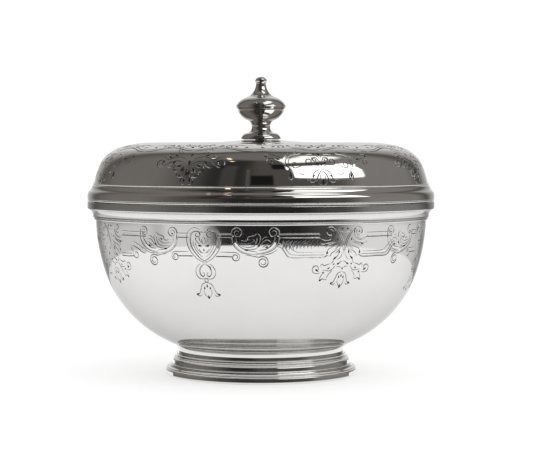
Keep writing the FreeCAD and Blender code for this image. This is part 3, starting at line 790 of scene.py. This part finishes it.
bowl_outline = [
    (0, BOWL_BOTTOM), (BASE_RADIUS, BOWL_BOTTOM, BASE_ARC), (BELLY_LOW_RADIUS, BELLY_LOW, BELLY_ARC),
    (bowl_skin(BAND_LOW)[0], BAND_LOW, BELLY_ARC), (BELLY_TOP_RADIUS, BELLY_TOP, UPPER_ARC),
    (bowl_skin(BAND_HIGH)[0], BAND_HIGH, UPPER_ARC), (NECK, UPRIGHT_FROM), (NECK, RIM_TOP),
    (MOUTH, RIM_TOP), (MOUTH, UPRIGHT_FROM, BOWL_WALL - UPPER_ARC),
    (BELLY_TOP_RADIUS - BOWL_WALL * math.sin(BELLY_ANGLE),
     BELLY_TOP + BOWL_WALL * math.cos(BELLY_ANGLE), BOWL_WALL - BELLY_ARC),
    (BELLY_LOW_RADIUS - BOWL_WALL * math.sin(BASE_ANGLE),
     BELLY_LOW + BOWL_WALL * math.cos(BASE_ANGLE), BOWL_WALL - BASE_ARC),
    (BASE_RADIUS, BOWL_BOTTOM + BOWL_WALL), (0, BOWL_BOTTOM + BOWL_WALL)]

HEART_AT, SCROLL_AT, LEAVES_AT, MIRRORED_SCROLL_AT = -18.75, -1.75, 28.1, -35.75
BOWL_COLUMN, BOWL_ROWS = -21, 18


def lower_strap(side):
    """The lower double strap on one side of the acanthus leaves, drawn for their left."""
    def at(across, up):
        return LEAVES_AT + side * (across - LEAVES_AT), up
    return [cut(0.16, at(5.2, 47.3), at(6.6, 46.8), at(7.6, 45.6), at(8.6, 44.2), at(10.2, 43.6),
                at(14.0, 43.6), at(20.4, 43.6), at(22.0, 44.3), taper=False),
            cut(0.1, at(5.6, 48.4), at(7.4, 47.4), at(8.4, 46.0), at(9.4, 44.9), at(10.8, 44.5),
                at(14.0, 44.45), at(21.0, 44.45), taper=False),
            strap(0.4, side, at(8.7, 44.9), at(10.4, 44.05), at(14.0, 44.0), at(20.6, 44.0)),
            cut(0.1, at(6.6, 49.0), at(8.6, 47.8), at(9.8, 46.6), at(11.0, 45.7), at(13.0, 45.3),
                at(21.4, 45.3))]


def rows_of_straps(hooked):
    """The two double straps between the motifs; the lower one ends in a hooked curl in one quarter."""
    lines = []
    for start, end in ((6.2, 19.0), (36.8, 48.9)):
        middle = (start + end) / 2
        lines += [strap(0.38, 1, (start, UPPER_STRAP), (middle, UPPER_STRAP), (end, UPPER_STRAP)),
                  cut(0.1, (start, UPPER_FINE), (middle, UPPER_FINE), (end, UPPER_FINE), taper=False),
                  cut(0.17, (start, UPPER_BOLD), (middle, UPPER_BOLD), (end, UPPER_BOLD), taper=False)]
    if hooked:
        lines += [cut(0.16, (41.8, 43.3), (40.6, 43.2), (38.0, 43.1), (34.9, 43.2), taper=False),
                  cut(0.12, (41.0, 44.1), (38.0, 44.0), (34.9, 44.0), taper=False),
                  cut(0.16, (41.8, 46.6), (42.0, 45.0), *whorl(43.3, 43.9, 1.5, 165, 1.1)),
                  cut(0.12, (41.0, 47.6), (41.1, 45.8), (41.9, 44.4)),
                  cut(0.16, (41.9, 46.8), (44.4, 45.9), (46.6, 44.7), (48.4, 44.3)),
                  strap(0.36, 1, (42.4, 47.4), (44.8, 46.5), (46.8, 45.4), (48.4, 45.0)),
                  cut(0.1, (42.2, 48.2), (45.0, 47.2), (47.0, 46.0), (48.6, 45.7))]
    for side in ((1,) if hooked else (1, -1)):
        lines += lower_strap(side)
    return lines


def hatching():
    """Fine slanting shading between the straps, ragged along its lower edge and thinning to one side."""
    count, first, run = 52, 6.9, 12.3
    lines = []
    for k in range(count):
        across = first + run * k / count
        low = 46.4 + 0.9 * k / count + 0.55 * math.sin(across * 5.3) + 0.3 * math.sin(across * 13.7)
        high = 49.3 - 0.25 * (k % 3)
        width = 0.1 - 0.035 * k / count
        shade = cut(width, (across, low), (across + 0.12, (low + high) / 2), (across + 0.42, high))
        # Painted shade: every other hatch line takes the near-black accent colour, the rest the dark grey
        # line colour.
        shade.finish_and_shade = ACCENT if k % 2 else LINE
        lines.append(shade)
    return lines


def bowl_engraving(hooked):
    """Every cut in one quarter of the bowl's band."""
    scroll = leaf_scroll()
    return ([stroke.moved(HEART_AT) for stroke in heart()]
            + [stroke.moved(SCROLL_AT) for stroke in scroll]
            + [stroke.moved(PERIOD + MIRRORED_SCROLL_AT, mirror=True) for stroke in scroll]
            + [stroke.moved(LEAVES_AT) for stroke in acanthus()]
            + rows_of_straps(hooked) + hatching())


def bowl():
    """The bowl itself, with its engraved band."""
    fabric = Fabric()
    spin(fabric, marked(soften(section(bowl_outline)), BAND_LOW, BAND_HIGH))
    for hooked, sectors in ((False, (0, 1, 2)), (True, (3,))):
        engrave(fabric, bowl_engraving(hooked), sectors, bowl_skin,
                BAND_LOW, BAND_HIGH, BOWL_COLUMN, BOWL_ROWS)
    piece = fabric.build("engraved_bowl", SHADED_BOWL_SILVER, SHADED_CUT_LINE, SHADED_CUT_ACCENT)
    return placed(piece, "bowl", "bowl_silver", "bowl_shell")


COVE_RADIUS = RIM - 1.9
BAND_FOOT = RIM_TOP - 2.6
COVE_LOW = BAND_FOOT - 2.3

bowl()
turned("rim_band_and_cove", [
    (NECK, RIM_LOW), (COVE_RADIUS, RIM_LOW), (COVE_RADIUS, COVE_LOW, -2.6), (RIM - 0.45, BAND_FOOT),
    (RIM - 0.25, BAND_FOOT), (RIM, BAND_FOOT + 0.25), (RIM, RIM_TOP - 0.25), (RIM - 0.25, RIM_TOP),
    (NECK, RIM_TOP)], "bowl", "bowl_silver", SHADED_BOWL_SILVER, "bowl_rim_moulding", rounding=0.12)
turned("rim_reed", [
    (NECK + SOLDER, REED_LOW), (NECK + 0.3, REED_LOW, 0.48), (NECK + 0.3, RIM_LOW), (NECK + SOLDER, RIM_LOW)],
    "bowl", "bowl_silver", SHADED_BOWL_SILVER, "rim_reed_wire", rounding=0.05)


# ---------------------------------------------------------------- foot

WIRE_INNER = FOOT - 1.9
STEP_RADIUS, STEP = 31.4, 3.7
PLINTH_RADIUS, PLINTH_TOP_RADIUS, PLINTH_TOP = 30.85, 30.1, 5.85
CAVETTO_RADIUS, CAVETTO_TOP = 29.25, 7.1
BEAD, BEAD_ARC = 0.5, 0.27
WAIST_RADIUS, COLLAR_INNER, FLARE_RADIUS = 28.8, 27.85, 30.3

turned("foot_flare", [
    (COLLAR_INNER, WAIST), (WAIST_RADIUS, WAIST, -2.6),
    (FLARE_RADIUS, under_bowl(FLARE_RADIUS), -BASE_ARC - SOLDER), (COLLAR_INNER, under_bowl(COLLAR_INNER))],
    "bowl", "foot_silver", FOOT_SILVER, "foot_collar")
turned("foot_steps", [
    (WIRE_INNER, WIRE_TOP), (FOOT - 0.5, WIRE_TOP, 0.42), (FOOT - 1.0, 2.95, -0.95), (STEP_RADIUS, STEP),
    (PLINTH_RADIUS, STEP, BEAD_ARC), (PLINTH_RADIUS, STEP + BEAD), (30.62, 5.3, 0.9),
    (PLINTH_TOP_RADIUS, PLINTH_TOP, BEAD_ARC), (PLINTH_TOP_RADIUS, PLINTH_TOP + BEAD),
    (PLINTH_TOP_RADIUS - BEAD_ARC, PLINTH_TOP + BEAD, -0.9),
    (CAVETTO_RADIUS, CAVETTO_TOP, BEAD_ARC), (CAVETTO_RADIUS, CAVETTO_TOP + BEAD),
    (WAIST_RADIUS + 0.2, CAVETTO_TOP + BEAD), (WAIST_RADIUS, WAIST),
    (COLLAR_INNER, WAIST), (COLLAR_INNER, CAVETTO_TOP)],
    "bowl", "foot_silver", FOOT_SILVER, "foot_skirt", rounding=0.06)
turned("foot_wire", [
    (WIRE_INNER + 0.45, 0), (FOOT - 0.8, 0, 0.9), (FOOT, 0.9), (FOOT - 0.15, WIRE_TOP - 0.45, 0.5),
    (FOOT - 0.5, WIRE_TOP), (WIRE_INNER, WIRE_TOP), (WIRE_INNER, 0.45)],
    "bowl", "foot_silver", FOOT_SILVER, "foot_base_wire")


# ---------------------------------------------------------------- lid

SHOULDER_RADIUS = LID - SIDE_HEIGHT * math.tan(SIDE_ANGLE)
SHOULDER = LID_STEP + SIDE_HEIGHT
SIDE_HALF = math.asin(SIDE_HEIGHT / math.cos(SIDE_ANGLE) / 2 / SIDE_ARC)
SIDE_LOW_ANGLE, SIDE_TOP_ANGLE = SIDE_ANGLE - SIDE_HALF, SIDE_ANGLE + SIDE_HALF
CROWN_RADIUS = SHOULDER_RADIUS - SHOULDER_ARC * (math.cos(SIDE_TOP_ANGLE) - math.cos(SHOULDER_ANGLE))
CROWN = SHOULDER + SHOULDER_ARC * (math.sin(SHOULDER_ANGLE) - math.sin(SIDE_TOP_ANGLE))
FLAT_RADIUS = CROWN_RADIUS - CROWN_ARC * math.cos(SHOULDER_ANGLE)
FLAT = CROWN + CROWN_ARC * (1 - math.sin(SHOULDER_ANGLE))
BOSS = FLAT + BOSS_RISE
BOSS_ARC = ((HOLLOW_RADIUS - BOSS_RADIUS) ** 2 + BOSS_RISE ** 2) / (2 * BOSS_RISE)
SIDE_RUN = SIDE_ARC * 2 * SIDE_HALF
SHOULDER_RUN = SHOULDER_ARC * (SHOULDER_ANGLE - SIDE_TOP_ANGLE)
CROWN_RUN = CROWN_ARC * (math.pi / 2 - SHOULDER_ANGLE)
LID_CUTS_HIGH = SIDE_RUN + SHOULDER_RUN + 0.5 * CROWN_RUN


def lid_skin(up):
    """Radius, height and outward normal of the lid's outside at a run up its side from the step."""
    if up < SIDE_RUN:
        angle, arc = SIDE_LOW_ANGLE + up / SIDE_ARC, SIDE_ARC
        radius, height = LID - arc * math.cos(SIDE_LOW_ANGLE), LID_STEP - arc * math.sin(SIDE_LOW_ANGLE)
    elif up < SIDE_RUN + SHOULDER_RUN:
        angle, arc = SIDE_TOP_ANGLE + (up - SIDE_RUN) / SHOULDER_ARC, SHOULDER_ARC
        radius = SHOULDER_RADIUS - arc * math.cos(SIDE_TOP_ANGLE)
        height = SHOULDER - arc * math.sin(SIDE_TOP_ANGLE)
    else:
        angle, arc = SHOULDER_ANGLE + (up - SIDE_RUN - SHOULDER_RUN) / CROWN_ARC, CROWN_ARC
        radius, height = FLAT_RADIUS, FLAT - arc
    out, rise = math.cos(angle), math.sin(angle)
    return radius + arc * out, height + arc * rise, out, rise


LID_END = lid_skin(LID_CUTS_HIGH)
STUD_HOLE = STUD + 0.08
LEAF_AT, SHELL_AT, SHELL_BAND_AT = 20.1, -24.4, -24.8
LID_COLUMN, LID_ROWS = -2, 16

lid_outline = [
    (LID - LID_WALL, BEZEL_TOP), (LID, BEZEL_TOP), (LID, LID_STEP, SIDE_ARC),
    (SHOULDER_RADIUS, SHOULDER, SHOULDER_ARC), (CROWN_RADIUS, CROWN, CROWN_ARC),
    (LID_END[0], LID_END[1], CROWN_ARC), (FLAT_RADIUS, FLAT),
    (HOLLOW_RADIUS, FLAT, -BOSS_ARC), (BOSS_RADIUS, BOSS), (STUD_HOLE, BOSS), (STUD_HOLE, BOSS - LID_WALL),
    (BOSS_RADIUS, BOSS - LID_WALL, BOSS_ARC), (HOLLOW_RADIUS, FLAT - LID_WALL),
    (FLAT_RADIUS, FLAT - LID_WALL, LID_WALL - CROWN_ARC),
    (CROWN_RADIUS - LID_WALL * math.cos(SHOULDER_ANGLE), CROWN - LID_WALL * math.sin(SHOULDER_ANGLE),
     LID_WALL - SHOULDER_ARC),
    (SHOULDER_RADIUS - LID_WALL * math.cos(SIDE_TOP_ANGLE), SHOULDER - LID_WALL * math.sin(SIDE_TOP_ANGLE)),
    (LID - LID_WALL, LID_STEP)]


def lid_engraving():
    """Every cut in one quarter of the lid."""
    band = crown_band()
    return ([stroke.moved(LEAF_AT) for stroke in lid_leaf()]
            + [stroke.moved(PERIOD + SHELL_AT) for stroke in lid_shell()]
            + [stroke.moved(LEAF_AT) for stroke in band]
            + [stroke.moved(PERIOD + SHELL_BAND_AT) for stroke in band])


def lid():
    """The domed lid with its engraving."""
    fabric = Fabric()
    spin(fabric, marked(soften(section(lid_outline)), LID_STEP, LID_END[1]))
    engrave(fabric, lid_engraving(), range(SECTORS), lid_skin, 0.0, LID_CUTS_HIGH, LID_COLUMN, LID_ROWS)
    piece = fabric.build("engraved_lid", LID_SILVER, SHADED_CUT_LINE, SHADED_CUT_ACCENT)
    return placed(piece, "lid", "lid_silver", "lid_dome")


lid()
turned("lid_ogee", [
    (LID, EDGE_TOP), (RIM, EDGE_TOP), (RIM, EDGE_TOP + 1.4, 2.4), (RIM - 0.75, EDGE_TOP + 2.9, -2.4),
    (RIM - 1.6, EDGE_TOP + 4.4), (LID + 0.25, LID_STEP - BEAD, BEAD_ARC), (LID + 0.25, LID_STEP),
    (LID, LID_STEP)],
    "lid", "lid_silver", LID_SILVER, "lid_rim_moulding", rounding=0.1)
turned("lid_edge", [
    (LID, LID_BASE), (RIM - 0.2, LID_BASE, 0.33), (RIM - 0.2, EDGE_TOP), (LID, EDGE_TOP)],
    "lid", "lid_silver", LID_SILVER, "lid_edge_wire", rounding=0.03)
turned("bezel_ring", [
    (BEZEL - BEZEL_WALL, BEZEL_LOW), (BEZEL - 0.3, BEZEL_LOW), (BEZEL, BEZEL_LOW + 0.3), (BEZEL, LID_BASE),
    (LID, LID_BASE), (LID, BEZEL_TOP), (BEZEL - BEZEL_WALL, BEZEL_TOP)],
    "lid", "inner_silver", INNER_SILVER, "lid_bezel")


# ---------------------------------------------------------------- finial

def from_seat(outline):
    """Raise an outline's heights from the finial's seat to heights from the table."""
    return [(corner[0], SEAT + corner[1], *corner[2:]) for corner in outline]


STUD_BORE = STUD + SOLDER
FINIAL_STEPS, PEDESTAL, KNOP_FLOOR, SEAM, CEILING, TIP = 144, 2.4, 7.8, 10.1, 13.7, 21.75

turned("finial_pedestal", from_seat([
    (STUD_BORE, 0), (6.3, 0), (6.3, 0.2), (6.9, 0.2), (6.9, 0.5, 2.6), (4.4, PEDESTAL),
    (STUD_BORE, PEDESTAL)]),
    "finial", "finial_silver", FINIAL_SILVER, "finial_base", steps=FINIAL_STEPS, rounding=0.1)
turned("finial_neck", from_seat([
    (STUD_BORE, PEDESTAL), (4.4, PEDESTAL, -2.4), (4.3, 6.55), (4.9, 6.8, 6.0), (8.0, SEAM),
    (7.2, SEAM, -5.2), (4.2, KNOP_FLOOR), (0, KNOP_FLOOR), (0, 5.03), (STUD_BORE, 5.03)]),
    "finial", "finial_silver", FINIAL_SILVER, "finial_stem", steps=FINIAL_STEPS, rounding=0.1)
turned("finial_knop_and_spire", from_seat([
    (7.2, SEAM), (7.8, SEAM), (7.8, 10.3), (8.1, 10.5), (8.7, 11.45, 5.6), (5.1, 14.6), (4.6, 14.85, -5.4),
    (1.68, 19.4, 1.7), (1.95, 20.7, 2.3), (0.3, TIP), (0, TIP), (0, CEILING), (4.2, CEILING, -5.0),
    (7.2, 11.45)]),
    "finial", "finial_silver", FINIAL_SILVER, "finial_cap", steps=FINIAL_STEPS, rounding=0.1)


def threaded_stud():
    """The stud, with a real thread cut along its lower half."""
    pitch, depth, steps, per_turn = 0.7, 0.3, 48, 8
    low, top, chamfer = STUD_LOW, NUT_TOP + 0.6, 0.4
    fabric = Fabric()
    levels = [low + pitch * k / per_turn for k in range(int((top - low) / pitch * per_turn) + 1)]

    def radius(height, angle):
        turn = ((height - low) / pitch - angle / (2 * math.pi)) % 1.0
        groove = depth * max(0.0, 1 - abs(turn - 0.5) / 0.42)
        ends = min(1.0, max(0.0, (height - low) / 0.5), max(0.0, (top - height) / 0.5))
        return min(STUD - groove * ends, STUD - chamfer + (height - low))

    def slope(height, angle):
        step = 0.01
        rise = (radius(height + step, angle) - radius(height - step, angle)) / (2 * step)
        return unit(np.array([1.0, -max(-2.0, min(2.0, rise))]))

    angles = [2 * math.pi * k / steps for k in range(steps + 1)]
    for below, above in zip(levels, levels[1:]):
        for a, b in zip(angles, angles[1:]):
            corners = [(below, a), (below, b), (above, b), (above, a)]
            fabric.face([around(radius(h, c), h, c) for h, c in corners],
                        [around(*slope(h, c), c) for h, c in corners])
    spin(fabric, section([(0, low), (STUD - chamfer, low)])[:1], steps)
    high = levels[-1]
    for a, b in zip(angles, angles[1:]):
        for start, end, normal in (((STUD, high), (STUD, STUD_TOP - 0.2), (1, 0)),
                                   ((STUD, STUD_TOP - 0.2), (STUD - 0.2, STUD_TOP), (0.7, 0.7)),
                                   ((STUD - 0.2, STUD_TOP), (0, STUD_TOP), (0, 1))):
            panel(fabric, start, end, a, b, normal)
    return placed(fabric.build("threaded_stud", FIXING_SILVER), "finial", "fixing_silver", "finial_stud")


def hexagon_nut():
    """The nut, with its lower corners turned off in a cone."""
    flats, chamfer, sides, per_side = 7.0, 0.35, 6, 8
    corner, bore = flats / math.sqrt(3), STUD_BORE
    fabric = Fabric()
    angles = [2 * math.pi * k / (sides * per_side) for k in range(sides * per_side + 1)]

    def reach(angle):
        return flats / 2 / math.cos((angle + math.pi / 6) % (math.pi / 3) - math.pi / 6)

    def lower_edge(angle):
        cone = (reach(angle) - flats / 2) / (corner + chamfer - flats / 2) * chamfer
        return NUT_LOW + cone

    for a, b in zip(angles, angles[1:]):
        middle = (a + b) / 2
        facing = round(middle / (math.pi / 3)) * math.pi / 3
        flat = around(1, 0, facing)
        fabric.face([around(reach(a), lower_edge(a), a), around(reach(b), lower_edge(b), b),
                     around(reach(b), NUT_TOP, b), around(reach(a), NUT_TOP, a)], [flat] * 4)
        cone = around(*unit(np.array([0.2, -1.0])), middle)
        fabric.face([around(flats / 2, NUT_LOW, a), around(flats / 2, NUT_LOW, b),
                     around(reach(b), lower_edge(b), b), around(reach(a), lower_edge(a), a)], [cone] * 4)
        panel(fabric, (bore, NUT_LOW), (flats / 2, NUT_LOW), a, b, (0, -1))
        fabric.face([around(reach(a), NUT_TOP, a), around(reach(b), NUT_TOP, b),
                     around(bore, NUT_TOP, b), around(bore, NUT_TOP, a)], [(0, 0, 1)] * 4)
        panel(fabric, (bore, NUT_TOP), (bore, NUT_LOW), a, b, (-1, 0))
    return placed(fabric.build("hexagon_nut", FIXING_SILVER), "finial", "fixing_silver", "finial_nut")


threaded_stud()
turned("washer", [(STUD_HOLE, NUT_TOP), (5.0, NUT_TOP), (5.0, WASHER_TOP), (STUD_HOLE, WASHER_TOP)],
       "finial", "fixing_silver", FIXING_SILVER, "finial_washer", steps=96, rounding=0.1)
hexagon_nut()


# ---------------------------------------------------------------- floor

FLOOR_RADIUS = 203
floor_mesh = bpy.data.meshes.new("studio_floor")
floor_corners = 120
floor_outline = [around(FLOOR_RADIUS * MM, 0, 2 * math.pi * k / floor_corners) for k in range(floor_corners)]
floor_mesh.from_pydata(floor_outline, [], [range(floor_corners)])
studio_floor = bpy.data.objects.new("studio_floor", floor_mesh)
bpy.context.scene.collection.objects.link(studio_floor)
floor_material = bpy.data.materials.new("pale_floor")
floor_material.use_nodes = True
floor_shader = floor_material.node_tree.nodes["Principled BSDF"]
floor_shader.inputs["Base Color"].default_value = (0.72, 0.72, 0.72, 1)
floor_shader.inputs["Emission Color"].default_value = (1, 1, 1, 1)
floor_shader.inputs["Emission Strength"].default_value = 0.46
floor_shader.inputs["Roughness"].default_value = 0.9
floor_shader.inputs["Specular IOR Level"].default_value = 0.1
floor_mesh.materials.append(floor_material)


# ---------------------------------------------------------------- studio light

world = bpy.data.worlds.new("studio")
bpy.context.scene.world = world
world.use_nodes = True
tree = world.node_tree
tree.nodes.clear()


def calculate(operation, *values):
    """A math node on sockets or plain numbers."""
    made = tree.nodes.new("ShaderNodeMath")
    made.operation = operation
    for socket, value in zip(made.inputs, values):
        if isinstance(value, (int, float)):
            socket.default_value = value
        else:
            tree.links.new(value, socket)
    return made.outputs[0]


def ramp(value, low, high):
    """Zero below low, one above high, smooth between."""
    made = tree.nodes.new("ShaderNodeMapRange")
    made.interpolation_type = "SMOOTHSTEP"
    tree.links.new(value, made.inputs["Value"])
    made.inputs["From Min"].default_value = low
    made.inputs["From Max"].default_value = high
    return made.outputs["Result"]


def between(value, low, high, soft):
    """One between low and high, fading to zero over a width at both ends."""
    rising = ramp(value, low - soft / 2, low + soft / 2)
    falling = ramp(value, high - soft / 2, high + soft / 2)
    return calculate("MULTIPLY", rising, calculate("SUBTRACT", 1.0, falling))


def over(under, colour, mask):
    """A colour laid over another where the mask is one."""
    made = tree.nodes.new("ShaderNodeMix")
    made.data_type = "RGBA"
    tree.links.new(mask, made.inputs["Factor"])
    if isinstance(under, tuple):
        made.inputs["A"].default_value = (*under, 1)
    else:
        tree.links.new(under, made.inputs["A"])
    made.inputs["B"].default_value = (*colour, 1)
    return made.outputs["Result"]


direction = tree.nodes.new("ShaderNodeTexCoord").outputs["Generated"]
split = tree.nodes.new("ShaderNodeSeparateXYZ")
tree.links.new(direction, split.inputs[0])
frontward = calculate("MULTIPLY", split.outputs["Y"], -1.0)
side = calculate("DEGREES", calculate("ARCTAN2", split.outputs["X"], frontward))
height = calculate("DEGREES", calculate("ARCSINE", split.outputs["Z"]))
turned_away = calculate("ABSOLUTE", side)


def both(first, second):
    """Where two masks meet."""
    return calculate("MULTIPLY", first, second)


def lamp(at_side, at_height, radius):
    """A round spot seen in one direction of the studio."""
    a, h = math.radians(at_side), math.radians(at_height)
    aim = calculate("ADD", calculate("MULTIPLY", split.outputs["X"], math.sin(a) * math.cos(h)),
                    calculate("MULTIPLY", split.outputs["Y"], -math.cos(a) * math.cos(h)))
    aim = calculate("ADD", aim, calculate("MULTIPLY", split.outputs["Z"], math.sin(h)))
    return ramp(aim, math.cos(math.radians(radius * 1.3)), math.cos(math.radians(radius * 0.7)))


# Colours seen in the silver, by side (degrees from the front, right positive) and height above the horizon.
# The room is dark, darkest at the left of the front, with paler walls to both sides.
studio = (0.076, 0.071, 0.067)
studio = over(studio, (0.17, 0.162, 0.152), between(side, -134, -66, 40))
studio = over(studio, (0.028, 0.026, 0.025), both(between(side, -44, -8, 20), ramp(height, 6, 14)))
studio = over(studio, (0.22, 0.212, 0.205), between(side, 66, 132, 24))
studio = over(studio, (0.055, 0.052, 0.05), both(between(side, -30, -19, 4), between(height, 22, 50, 6)))

# Below the horizon a pale table runs on past the floor, with a dark gap at the front.
below = between(height, -28, -4, 5)
studio = over(studio, (0.74, 0.735, 0.73), both(ramp(turned_away, 66, 84), below))
studio = over(studio, (0.85, 0.85, 0.84), both(between(side, -74, -36, 18), below))
studio = over(studio, (0.92, 0.92, 0.91), both(between(side, 62, 190, 30), below))
studio = over(studio, (0.80, 0.80, 0.79), both(ramp(turned_away, 116, 140), below))
studio = over(studio, (0.022, 0.021, 0.021), both(between(side, -27, 34, 22), between(height, -30, 9, 9)))

# Pale screens stand behind, under a dim ceiling with a bright panel at the right.
under_ceiling = calculate("SUBTRACT", 1.0, ramp(height, 60, 68))
low_screen = calculate("SUBTRACT", 1.0, ramp(height, 34, 50))
studio = over(studio, (0.40, 0.395, 0.385), both(ramp(turned_away, 138, 158), under_ceiling))
studio = over(studio, (0.74, 0.74, 0.74), both(ramp(turned_away, 155, 172), low_screen))
studio = over(studio, (0.16, 0.15, 0.145), ramp(height, 66, 78))
studio = over(studio, (1.3, 1.3, 1.28), both(between(side, 24, 112, 6), between(height, 60, 76, 6)))

# The window at the right, with a sloping sill, two black cards and a grey post beside it, and warm lamps.
sill = calculate("ADD", height, calculate("MULTIPLY", calculate("SUBTRACT", side, 30.0), 0.125))
window_head = calculate("SUBTRACT", 1.0, ramp(height, 46, 50))
window = both(between(side, 24.5, 80, 3), both(ramp(sill, 30.4, 31.6), window_head))
studio = over(studio, (2.0, 2.0, 1.98), window)
BLACK = (0.010, 0.010, 0.010)
studio = over(studio, BLACK, both(between(side, -7.5, 9, 1.5), between(height, 26.6, 33.6, 1)))
studio = over(studio, BLACK, both(between(side, 9, 21, 3), between(height, 40, 56, 5)))
studio = over(studio, (0.085, 0.08, 0.075), both(between(side, -11, -8.5, 1), between(height, 24, 40, 3)))
for at_side, at_height in ((-63, 75), (-50, 72), (-80, 70), (-36, 66), (150, 72)):
    studio = over(studio, (2.2, 1.8, 1.3), lamp(at_side, at_height, 1.0))

# The camera sees plain white behind the object, and the floor is lit evenly.
rays = tree.nodes.new("ShaderNodeLightPath")
seen = over(studio, (1.05, 1.05, 1.05), rays.outputs["Is Camera Ray"])
lit = over(seen, (0.95, 0.95, 0.95), rays.outputs["Is Diffuse Ray"])
background = tree.nodes.new("ShaderNodeBackground")
tree.links.new(lit, background.inputs["Color"])
output = tree.nodes.new("ShaderNodeOutputWorld")
tree.links.new(background.outputs[0], output.inputs["Surface"])


# ---------------------------------------------------------------- camera

CAMERA_DISTANCE, CAMERA_HEIGHT = 0.623, 0.0781
CAMERA_PITCH, CAMERA_YAW = math.radians(90 - 2.52), math.radians(-0.176)
camera_data = bpy.data.cameras.new("camera")
camera_data.sensor_width = 36
camera_data.lens = 121.17
camera_data.clip_start = 0.01
camera = bpy.data.objects.new("camera", camera_data)
camera.location = (0, -CAMERA_DISTANCE, CAMERA_HEIGHT)
camera.rotation_euler = (CAMERA_PITCH, 0, CAMERA_YAW)
bpy.context.scene.collection.objects.link(camera)
bpy.context.scene.camera = camera
bpy.context.scene.view_settings.view_transform = "Standard"
